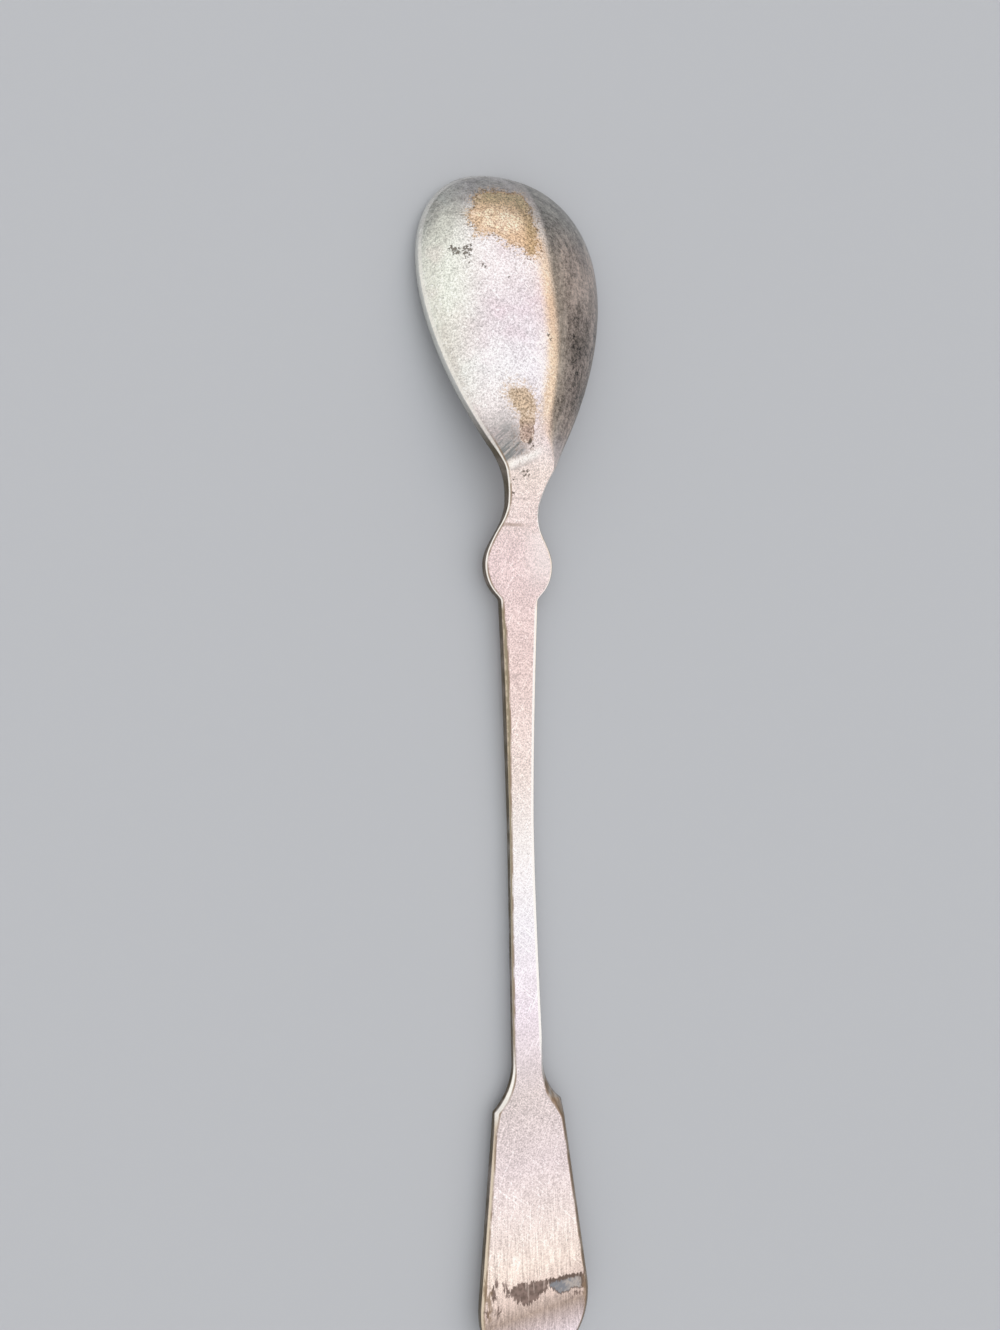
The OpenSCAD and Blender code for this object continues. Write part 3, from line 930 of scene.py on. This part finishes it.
# By x
CREAM_SIDE = (-4, -7.5)
TIP_SHADE_SIDE = (-5.5, -2)
RIM_LEFT = (0, -2)
RIM_RIGHT = (0, 4)
RIM_ACROSS = (-3, 3)
BRASS_RIGHT = (-1.3, 0)
CREASE_SIDE = (1.2, -0.8)
KNOP_LIGHT_SIDE = (-0.5, 2.5)
SHANK_LEFT = (0.2, -0.2)
STEM_LEFT = (0, -0.4)
STEM_RIGHT = (0.2, 0.6)
HANDLE_RIGHT = (0.3, 0.9)
# By the distance to the right of the line between the bowl's sides
FRINGE_ACROSS = (-1.5, -0.5)
DARK_TONE_ACROSS = (-0.6, 2.5)
LINE_LIGHT_ACROSS = (0.3, 1.6)
FLANK_DARK_ACROSS = (1, 2.8)
# By the share of the way to the rim
RIM_DARK_OFF = (0.85, 1)
# By the distance from the bevel's upper edge towards the axis
IN_BEVEL = (0, -0.08)
STEM_EDGE = (0.16, 0.06)
# By the distance outside a mark
CRUMBS = (0.35, -0.3)
NEAR_BARE = (1.3, 0.1)
REMAINS_EDGE = (-0.2, 0.2)
SHEEN_EDGE = (0.8, -0.7)
STAIN_EDGE = (0.08, -0.08)
BLUE_RIM = (-0.2, -0.06)
EDGE_STAIN_EDGE = (0.15, -0.1)
HEEL_PIT_EDGE = (0.05, -0.05)
# By shares of a pit's radius and of half a line's width
PIT_EDGE = (1.2, 0.55)
SCRATCH_EDGE = (1, 0.4)
LINE_EDGE = (1, 0.25)

# Thin lines: where each lies and half its width, and across the neck also how much lighter it is
NECK_LINES = [(30.5, 0.14, -0.14), (30.75, 0.14, 0.08), (32.3, 0.2, 0.08)]
CREASE_LINE = (32.72, 0.22)
LIT_EDGE = (0.15, 0.16)
OUTLINE = (-0.05, 0.17)
BEAD_LINE = (-0.26, 0.12)
EDGE_LINE = (0, 0.11)

# How far noise moves the edge of a mark, in millimetres
LINE_UNEVEN = 0.15
CRUMB_REACH = 0.65
SHEEN_UNEVEN = 0.5
STAIN_RAGGED = 0.25
PIT_UNEVEN = 0.12


def line_at(n, value, middle, half):
    """1 on a thin line, 0 beyond half of its width."""
    away = n.math("ABSOLUTE", n.math("SUBTRACT", value, middle))
    return n.ease(away, *[half * edge for edge in LINE_EDGE])


def crumbled(n, where, mark, none, full):
    """From 0 to 1 by the distance outside a mark, with an edge that breaks into crumbs."""
    crumbs = n.noise(where, 5.5, 2, 0.6)
    reach = n.total(n.mark(mark), n.ease(crumbs, 0.25, 0.75, -CRUMB_REACH, CRUMB_REACH))
    return n.ease(reach, none, full)


class PlateNodes(Nodes):
    """Nodes of the plate, with the places, marks and unevenness that its layers share."""

    def __init__(self, tree):
        super().__init__(tree)
        self.where = self.place()
        self.x, self.station = self.x_and_station(self.where)
        self.flat = self.add("ShaderNodeCombineXYZ", {0: self.x, 1: self.station}).outputs[0]
        self.fine = self.noise(self.where, 6.5, 2, 0.6)
        self.grain = self.noise(self.where, 3, 2, 0.6)
        self.clouds = self.noise(self.where, 0.35, 3)
        self.along = self.streaks(self.where, 1.5, 0.5, 3)
        self.brushed = self.streaks(self.where, 6.5, 0.5, 2)
        self.rubbed = self.streaks(self.flat, 4.6, 0.5, 2, -45)
        self.on_back = self.mark("back")
        self.wall = self.mark("wall")
        self.inset = self.mark("inset")
        self.off = self.mark("off")
        self.heel_shade = self.mark("heel_shade")
        uneven = self.ease(self.grain, 0.3, 0.7, -LINE_UNEVEN, LINE_UNEVEN)
        self.flank_line = self.total(self.mark("flank_line"), uneven)
        self.on_bowl = self.by_station(ON_BOWL)
        self.on_stem = self.between(self.station, *STEM_RUN)
        self.on_handle = self.by_station(ON_HANDLE)
        self.on_blade = self.by_station(ON_BLADE)

    def by_station(self, pair, start=0, end=1):
        return self.ease(self.station, *pair, start, end)


def scratch_marks(n):
    """1 on fine scratches that lean both ways, and on the single ones."""
    one_way = n.ease(n.streaks(n.where, 7, 0.25, 1, 28), 0.64, 0.69)
    other_way = n.ease(n.streaks(n.where, 7, 0.3, 1, -47), 0.65, 0.7)
    single = []
    for start, end in SCRATCHES:
        run = Vector(end) - Vector(start)
        here = n.vector("SUBTRACT", n.flat, (*start, 0))
        along = n.vector("DOT_PRODUCT", here, (*(run / run.length_squared), 0))
        part = n.add("ShaderNodeClamp", {0: along}).outputs[0]
        away = n.vector("DISTANCE", here, n.scaled((*run, 0), part))
        single.append(n.ease(away, *[SCRATCH_W * edge for edge in SCRATCH_EDGE]))
    broken = n.times(n.most(*single), n.on_back, n.ease(n.grain, 0.35, 0.55, 0.2, 0.9))
    return n.most(one_way, other_way, broken)


def pit_marks(n):
    """1 in the pits, whose outlines are uneven."""
    uneven = n.ease(n.noise(n.where, 6, 1), 0.3, 0.7, -PIT_UNEVEN, PIT_UNEVEN)
    pits = []
    for middle_x, middle_s, radius in PITS:
        away = n.total(n.vector("DISTANCE", n.flat, (middle_x, middle_s, 0)), uneven)
        pits.append(n.ease(away, *[radius * edge for edge in PIT_EDGE]))
    return n.most(n.ease(n.mark("heel_pit"), *HEEL_PIT_EDGE), n.times(n.most(*pits), n.on_back))


def plate_ground(n):
    """The plate's tones along the spoon, with cream, pink and a painted tan reflection as a fringe beside
    the bowl's dark flank.
    """
    tones = [(s / LENGTH, colour) for s, colour in PLATE_TONES]
    colour = n.ramp(n.math("DIVIDE", n.station, LENGTH), tones)
    colour = n.mix(n.times(n.ease(n.x, *CREAM_SIDE), n.on_bowl), colour, CREAM)
    hue = n.times(n.noise(n.where, 0.22, 2), n.on_bowl)
    colour = n.mix(n.ease(hue, 0.5, 0.65, 0, 0.5), colour, n.mix(1, colour, PINK_TINT, "MULTIPLY"))
    # Painted tan reflection as a fringe beside the dark flank
    fringe = n.times(n.by_station(FRINGE_GROWS, 0.2, 0.6), n.by_station(FRINGE_END))
    return n.mix(n.times(fringe, n.ease(n.flank_line, *FRINGE_ACROSS)), colour, TAN_REFLECTION)


def plate_shade(n, scratches):
    """How light the plate is, in its grain, brush lines, scratches and specks, with a painted highlight
    along the tip patch's upper edge.
    """
    calm = n.most(n.on_blade, n.between(n.station, *CALM_RUN))
    rub_lines = n.times(n.on_bowl, n.ease(n.rubbed, 0.3, 0.7, -0.05, 0.05))
    dots = n.add("ShaderNodeTexVoronoi", {"Vector": n.where, "Scale": 1.9})
    specks = n.ease(dots.outputs["Distance"], 0.15, 0.08)
    # A painted highlight along the upper edge of the bare patch at the tip
    lit_edge = n.times(line_at(n, n.mark("wear"), *LIT_EDGE), n.by_station(LIT_EDGE_END))
    neck_lines = [n.times(line_at(n, n.station, s, half), lighter) for s, half, lighter in NECK_LINES]
    return n.total(
        n.ease(n.clouds, 0.3, 0.7, 0.95, 1.05),
        n.times(n.ease(n.fine, 0.25, 0.75, -0.34, 0.24), n.math("MULTIPLY_ADD", calm, -0.4, 1)),
        n.ease(n.grain, 0.25, 0.75, -0.07, 0.07),
        n.times(n.on_blade, n.ease(n.brushed, 0.3, 0.7, -0.2, 0.13)),
        n.times(rub_lines, n.math("MULTIPLY_ADD", n.heel_shade, 4, 1)),
        n.times(scratches, 0.2),
        n.times(specks, -0.3),
        n.times(lit_edge, 0.15),
        *neck_lines,
    )


def heel_and_knop(n, colour):
    """Painted shade along the crease at the neck's foot, a painted highlight on the knop's right, painted
    grey shade beside the heel's ridge and a painted highlight along the ridge.
    """
    # A painted shade line along the crease at the neck's foot
    crease = n.times(line_at(n, n.station, *CREASE_LINE), n.ease(n.x, *CREASE_SIDE), n.on_back)
    colour = n.mix(n.times(crease, 0.55), colour, CREASE_SHADE)
    # A painted highlight on the knop's right
    knop_light = n.times(n.ease(n.x, *KNOP_LIGHT_SIDE), n.between(n.station, *KNOP_LIGHT_RUN))
    colour = n.mix(n.times(knop_light, 0.4), colour, PAINTED_HIGHLIGHT)
    # Painted grey shade beside the heel's ridge, crossed by brush lines
    colour = n.mix(n.times(n.heel_shade, n.ease(n.rubbed, 0.36, 0.64, 0.5, 1.05)), colour, HEEL_SHADE_GREY)
    # A painted highlight along the heel's ridge
    return n.mix(n.times(n.mark("ridge"), 0.85), colour, PAINTED_HIGHLIGHT)


def flank_depth(n):
    """How much lighter or darker the painted dark reflection is along the bowl's right flank."""
    pale = n.times(n.between(n.station, *FLANK_PALE_RUN), 0.2)
    beside_line = n.ease(n.flank_line, *LINE_LIGHT_ACROSS, 0.24, 0)
    line_light = n.times(n.between(n.station, *LINE_LIGHT_RUN), beside_line)
    across = n.ease(n.flank_line, *FLANK_DARK_ACROSS, 0, -0.42)
    dark = n.times(n.by_station(FLANK_DARK_START), n.by_station(FLANK_DARK_END, -0.35, 1), across)
    rim_dark = n.times(n.by_station(RIM_DARK_START), n.ease(n.off, *RIM_DARK_OFF, 0, -0.3))
    return n.total(pale, line_light, dark, rim_dark)


def painted_dark_reflection(n, colour):
    """Mottled painted dark reflection on the flank and painted grey shade round the tip, and the share
    that is dull with it.
    """
    spread = {0: n.times(n.off, 10), 1: n.times(n.station, 0.22)}
    rings = n.add("ShaderNodeCombineXYZ", spread).outputs[0]
    mottled = n.total(n.noise(rings, 1, 3, 0.65), n.times(n.clouds, 0.5), n.times(n.grain, 0.3))
    # Painted grey shade round the tip, patchy, and weaker to the left
    tip_patches = n.ease(n.noise(n.where, 0.8, 4, 0.65), 0.34, 0.62, 0.4, 0.9)
    tip_shade = n.times(n.mark("painted_tip_shade"), n.ease(n.x, *TIP_SHADE_SIDE, 0.84, 1.04), tip_patches)
    dull = n.most(n.mark("painted_dark_flank"), tip_shade)
    dim = n.total(
        n.ease(mottled, 0.74, 1.08, 0.62, 1.5),
        n.ease(n.fine, 0.25, 0.75, -0.45, 0.45),
        n.ease(n.grain, 0.25, 0.75, -0.28, 0.28),
        n.ease(n.noise(n.where, 1.3, 3, 0.6), 0.3, 0.7, -0.17, 0.27),
        flank_depth(n),
    )
    # The painted dark tone: grey round the tip, grey-brown down the flank
    right_tone = n.mix(n.by_station(DARK_TONE_BROWN), TIP_SHADE_GREY, DARK_FLANK_REFLECTION)
    dark_tone = n.mix(n.ease(n.flank_line, *DARK_TONE_ACROSS), TIP_SHADE_GREY, right_tone)
    cover = n.times(dull, n.ease(mottled, 0.6, 1, 0.8, 1))
    return n.mix(cover, colour, n.shaded(dark_tone, dim)), dull


def edge_shade_and_highlights(n, colour):
    """Walls and bevels: darker walls, partly dirt and partly painted shade, with painted light on the
    bowl's left rim; painted highlights and painted shade along the bevels, with brown that is partly dirt.
    """
    # Painted light on the bowl's left rim wall, over walls that are partly dirt and partly painted shade
    left_rim = n.times(n.on_bowl, n.ease(n.x, *RIM_LEFT), n.by_station(LEFT_RIM_END))
    wall_tone = n.mix(left_rim, WALL_TONE, RIM_PAINTED_LIGHT)
    colour = n.mix(n.times(n.wall, n.ease(n.along, 0.3, 0.6, 0.7, 1)), colour, wall_tone)
    bevelled = n.times(n.ease(n.inset, *IN_BEVEL), n.without(n.wall))
    left_of_stem = n.times(n.on_stem, n.ease(n.x, *STEM_LEFT))
    colour = n.mix(n.times(bevelled, left_of_stem, 0.95), colour, WALL_LIGHT)
    # A dotted painted highlight on the stem's left bevel
    beaded = n.ease(n.streaks(n.where, 1.5, 1.6, 2), 0.45, 0.62, 0.1, 0.85)
    bead_line = n.times(line_at(n, n.inset, *BEAD_LINE), beaded, bevelled, left_of_stem)
    colour = n.mix(n.times(bead_line, 0.7), colour, CREAM_HIGHLIGHT)
    # Painted shade on the bowl's right rim bevel
    colour = n.mix(n.times(bevelled, n.on_bowl, n.ease(n.x, *RIM_RIGHT), 0.5), colour, WALL_TONE)
    # Painted highlights along the bevels, brighter on the bowl's left, and a painted bright line on the
    # stem's right edge
    rim_lit = n.math("MULTIPLY_ADD", n.on_bowl, n.ease(n.x, *RIM_ACROSS, -0.35, -0.9), 0.9)
    right_of_stem = n.times(n.on_stem, n.ease(n.x, *STEM_RIGHT), n.ease(n.inset, *STEM_EDGE))
    lit = n.most(n.times(bevelled, n.without(left_of_stem), rim_lit), right_of_stem)
    colour = n.mix(lit, colour, n.mix(n.by_station(BELOW_CORNER), PAINTED_HIGHLIGHT, CREAM_HIGHLIGHT))
    # Brown on the handle's right bevel, partly dirt and partly painted reflection
    right_bevel = n.times(bevelled, n.ease(n.x, *HANDLE_RIGHT), n.on_handle)
    colour = n.mix(n.times(right_bevel, n.ease(n.along, 0.3, 0.6, 0.6, 0.95)), colour, EDGE_BROWN)
    # A brown line along the bevels' inner edge, partly dirt and partly painted shade
    lined = n.times(n.by_station(PAST_HEEL), n.most(n.ease(n.x, *SHANK_LEFT), n.on_handle))
    edge_line = n.times(line_at(n, n.inset, *EDGE_LINE), lined, n.ease(n.along, 0.35, 0.6, 0.3, 0.85))
    return n.mix(edge_line, colour, EDGE_BROWN)


def bare_crumbs(n, colour):
    """Crumbs, specks and a dark outline round the bare patches, and the share that is bare."""
    bare = crumbled(n, n.where, "thin", *CRUMBS)
    tip_tone = n.mix(n.ease(n.fine, 0.35, 0.65), BRASS_DARK, BRASS)
    bare_tone = n.mix(n.by_station(CRUMBS_TO_HEEL), tip_tone, HEEL_TAN)
    bare_tone = n.mix(n.by_station(CRUMBS_DARKEN), bare_tone, HEEL_BROWN)
    strength = n.by_station(CRUMBS_TO_HEEL, 0.85, 0.7)
    fading = n.by_station(CRUMBS_DARKEN, 1, 0.4)
    colour = n.mix(n.times(bare, strength, fading), colour, bare_tone)
    wear = n.mark("wear")
    outlined = n.times(line_at(n, wear, *OUTLINE), n.by_station(OUTLINE_END))
    colour = n.mix(n.times(outlined, n.ease(n.grain, 0.35, 0.6, 0.05, 0.6)), colour, SPECK)
    specks = n.times(n.ease(wear, *NEAR_BARE), n.ease(n.noise(n.where, 5, 1), 0.59, 0.64))
    colour = n.mix(n.times(specks, n.by_station(NEAR_HEEL, 0.8, 0.35)), colour, SPECK)
    return colour, bare


def end_stains(n, colour):
    """Brown and slate stains with ragged outlines near the handle's end."""
    bristle = n.streaks(n.where, 5, 1.6, 3)
    ragged = n.ease(bristle, 0.25, 0.75, -STAIN_RAGGED, STAIN_RAGGED)
    mottle = n.noise(n.where, 2.4, 2, 0.6)
    brown = n.ease(n.total(n.mark("brown"), ragged), *STAIN_EDGE)
    scraped = n.ease(n.streaks(n.where, 4, 0.35, 1), 0.6, 0.68, 0.95, 0.65)
    brown_tone = n.mix(n.ease(mottle, 0.35, 0.65), BROWN_DARK, BROWN)
    colour = n.mix(n.times(brown, scraped), colour, brown_tone)
    blue_reach = n.total(n.mark("blue"), n.times(ragged, 0.5))
    pale = n.ease(n.total(mottle, n.times(n.x, 0.16)), 0.85, 1.2, 0, 0.8)
    level = n.total(n.station, n.times(n.x, BLUE_TOP_LEAN), n.times(ragged, 0.6))
    rimmed = n.most(n.ease(blue_reach, *BLUE_RIM, 0, 0.9), n.without(n.ease(level, *BLUE_TOP)))
    blue_tone = n.mix(rimmed, n.mix(pale, SLATE, SLATE_LIGHT), BROWN_DARK)
    colour = n.mix(n.times(n.ease(blue_reach, *STAIN_EDGE), 0.95), colour, blue_tone)
    edge_stain = n.ease(n.total(n.mark("edge_stain"), n.times(ragged, 0.7)), *EDGE_STAIN_EDGE)
    return n.mix(n.times(edge_stain, 0.8), colour, EDGE_BROWN)


def silver_plate():
    material, n, shader = new_material("worn_silver_plate", PlateNodes)
    scratches = scratch_marks(n)
    pits = pit_marks(n)
    colour = n.shaded(plate_ground(n), plate_shade(n, scratches))
    colour = heel_and_knop(n, colour)
    colour, dull = painted_dark_reflection(n, colour)
    colour = edge_shade_and_highlights(n, colour)
    colour, bare = bare_crumbs(n, colour)
    colour = end_stains(n, colour)
    colour = n.mix(n.times(pits, 0.85), colour, PIT)
    roughness = n.total(n.ease(n.clouds, 0.3, 0.7, 0.15, 0.21), n.times(dull, 0.12), n.times(bare, 0.1))
    normal = n.bump(n.grain, GRAIN_DEPTH)
    normal = n.bump(n.times(n.brushed, n.on_blade), BRUSH_DEPTH, normal)
    normal = n.bump(scratches, SCRATCH_DEPTH, normal)
    normal = n.bump(n.without(pits), PIT_DEPTH, normal)
    set_metal(n, shader, colour, roughness, normal)
    return material


def bare_brass():
    material, n, shader = new_material("bare_brass")
    where = n.place()
    x, station = n.x_and_station(where)
    fine = n.noise(where, 5.5, 2, 0.65)
    clouds = n.noise(where, 1.1, 2)
    # A painted highlight across the brass patch's middle
    painted_sheen = n.total(n.mark("painted_sheen"), n.ease(clouds, 0.3, 0.7, SHEEN_UNEVEN, -SHEEN_UNEVEN))
    colour = n.mix(n.ease(painted_sheen, *SHEEN_EDGE), BRASS, BRASS_HIGHLIGHT)
    patchy = n.ease(clouds, 0.3, 0.6, 0.5, 1)
    colour = n.mix(n.times(n.ease(x, *BRASS_RIGHT), patchy), colour, BRASS_DARK)
    colour = n.mix(n.times(n.ease(station, *OLIVE_END), patchy), colour, BRASS_OLIVE)
    colour = n.mix(n.ease(station, *BRASS_TO_HEEL), colour, HEEL_TAN)
    colour = n.mix(n.ease(station, *BRASS_DARKENS), colour, HEEL_BROWN)
    colour = n.shaded(colour, n.ease(fine, 0.28, 0.72, 0.42, 1.32))
    specks = n.ease(n.noise(where, 7, 1), 0.6, 0.68)
    colour = n.mix(n.times(specks, 0.6), colour, SPECK)
    colour = n.mix(n.times(crumbled(n, where, "wear", *REMAINS_EDGE), 0.7), colour, REMAINS)
    colour = n.mix(n.ease(n.mark("heel_pit"), *HEEL_PIT_EDGE), colour, PIT)
    set_metal(n, shader, colour, n.ease(fine, 0.3, 0.7, 0.24, 0.34), n.bump(fine, GRAIN_DEPTH))
    return material


# Stage

FLOOR_FLAT = 350
FLOOR_REACH = 1600
FLOOR_RISE = 660
FLOOR_RINGS = 24
FLOOR_SIDES = 96
FLOOR_TONE = tone(192, 195, 200)
FLOOR_WHITE = tone(250, 250, 248)
# The middle of the floor's darker spot, and where the floor around it turns white
FLOOR_SPOT = (600, 0, 0)
FLOOR_SPOT_EDGE = (650, 1450)
# The sky's darker side, and its tones from the opposite side to that one
DARK_SIDE = Vector((0.859, 0.479, 0.181)).normalized()
SKY = [
    (0.0, (1.0, 1.0, 0.97, 1)),
    (0.35, (1.0, 1.0, 0.98, 1)),
    (0.55, (1.0, 1.0, 1.0, 1)),
    (0.80, (1.0, 0.98, 1.0, 1)),
    (0.87, (1.0, 0.96, 0.95, 1)),
    (0.915, (1.0, 0.90, 0.80, 1)),
    (0.942, (0.97, 0.82, 0.67, 1)),
    (0.956, (0.60, 0.57, 0.54, 1)),
    (1.0, (0.54, 0.52, 0.50, 1)),
]


def pale_floor():
    """A dull pale tone that is whiter at the floor's edge except on the right."""
    material, n, shader = new_material("pale_floor")
    flat = n.vector("MULTIPLY", n.place(), (1, 1, 0))
    away = n.vector("DISTANCE", flat, FLOOR_SPOT)
    n.feed(shader.inputs["Base Color"], n.mix(n.ease(away, *FLOOR_SPOT_EDGE), FLOOR_TONE, FLOOR_WHITE))
    shader.inputs["Roughness"].default_value = 0.9
    shader.inputs["Specular IOR Level"].default_value = 0.1
    return material


def make_floor():
    """A wide floor that sweeps up at its edge."""
    points = [(0, 0, 0)]
    for ring in range(1, FLOOR_RINGS + 1):
        radius = FLOOR_REACH * ring / FLOOR_RINGS
        rise = FLOOR_RISE * share(radius, FLOOR_FLAT, FLOOR_REACH) ** 2
        for k in range(FLOOR_SIDES):
            angle = 2 * math.pi * k / FLOOR_SIDES
            points.append((radius * math.cos(angle), radius * math.sin(angle), rise))
    faces = [(0, 1 + k, 1 + (k + 1) % FLOOR_SIDES) for k in range(FLOOR_SIDES)]
    for ring in range(FLOOR_RINGS - 1):
        for k in range(FLOOR_SIDES):
            a = 1 + ring * FLOOR_SIDES + k
            b = 1 + ring * FLOOR_SIDES + (k + 1) % FLOOR_SIDES
            faces.append((a, a + FLOOR_SIDES, b + FLOOR_SIDES, b))
    floor = mesh_object("floor", np.array(points), faces, {})
    floor.data.materials.append(pale_floor())


def make_sky():
    """Soft light from all round, with one darker side that has a warm edge."""
    world = bpy.data.worlds.new("studio")
    world.use_nodes = True
    bpy.context.scene.world = world
    n = Nodes(world.node_tree)
    ray = n.add("ShaderNodeTexCoord", {}).outputs["Generated"]
    facing = n.vector("DOT_PRODUCT", ray, DARK_SIDE)
    background = world.node_tree.nodes["Background"]
    n.feed(background.inputs["Color"], n.ramp(n.math("MULTIPLY_ADD", facing, 0.5, 0.5), SKY))
    background.inputs["Strength"].default_value = 1.0


def make_camera():
    lens = bpy.data.cameras.new("camera")
    lens.sensor_width = SENSOR
    lens.lens = SENSOR * FOCAL_PX / FRAME_H
    lens.clip_start = CLIP_START * MM
    camera = bpy.data.objects.new("camera", lens)
    bpy.context.scene.collection.objects.link(camera)
    turned = Matrix.Rotation(math.radians(CAM_LEFT), 3, "Y")
    pitched = Matrix.Rotation(math.radians(CAM_PITCH), 3, "X")
    rolled = Matrix.Rotation(math.radians(CAM_ROLL), 3, "Z")
    look = (rolled @ pitched @ turned).transposed()
    camera.matrix_world = Matrix.Translation(look @ CAM_PLACE * MM) @ look.to_4x4()
    bpy.context.scene.camera = camera


bpy.context.scene.view_settings.view_transform = "Standard"
make_camera()
make_floor()
make_sky()
blank, plate = make_spoon()
blank.data.materials.append(bare_brass())
plate.data.materials.append(silver_plate())
for piece, node, slot in [(blank, "brass_blank", "brass"), (plate, "silver_plate", "silver")]:
    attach(piece, "root")
    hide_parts(node)
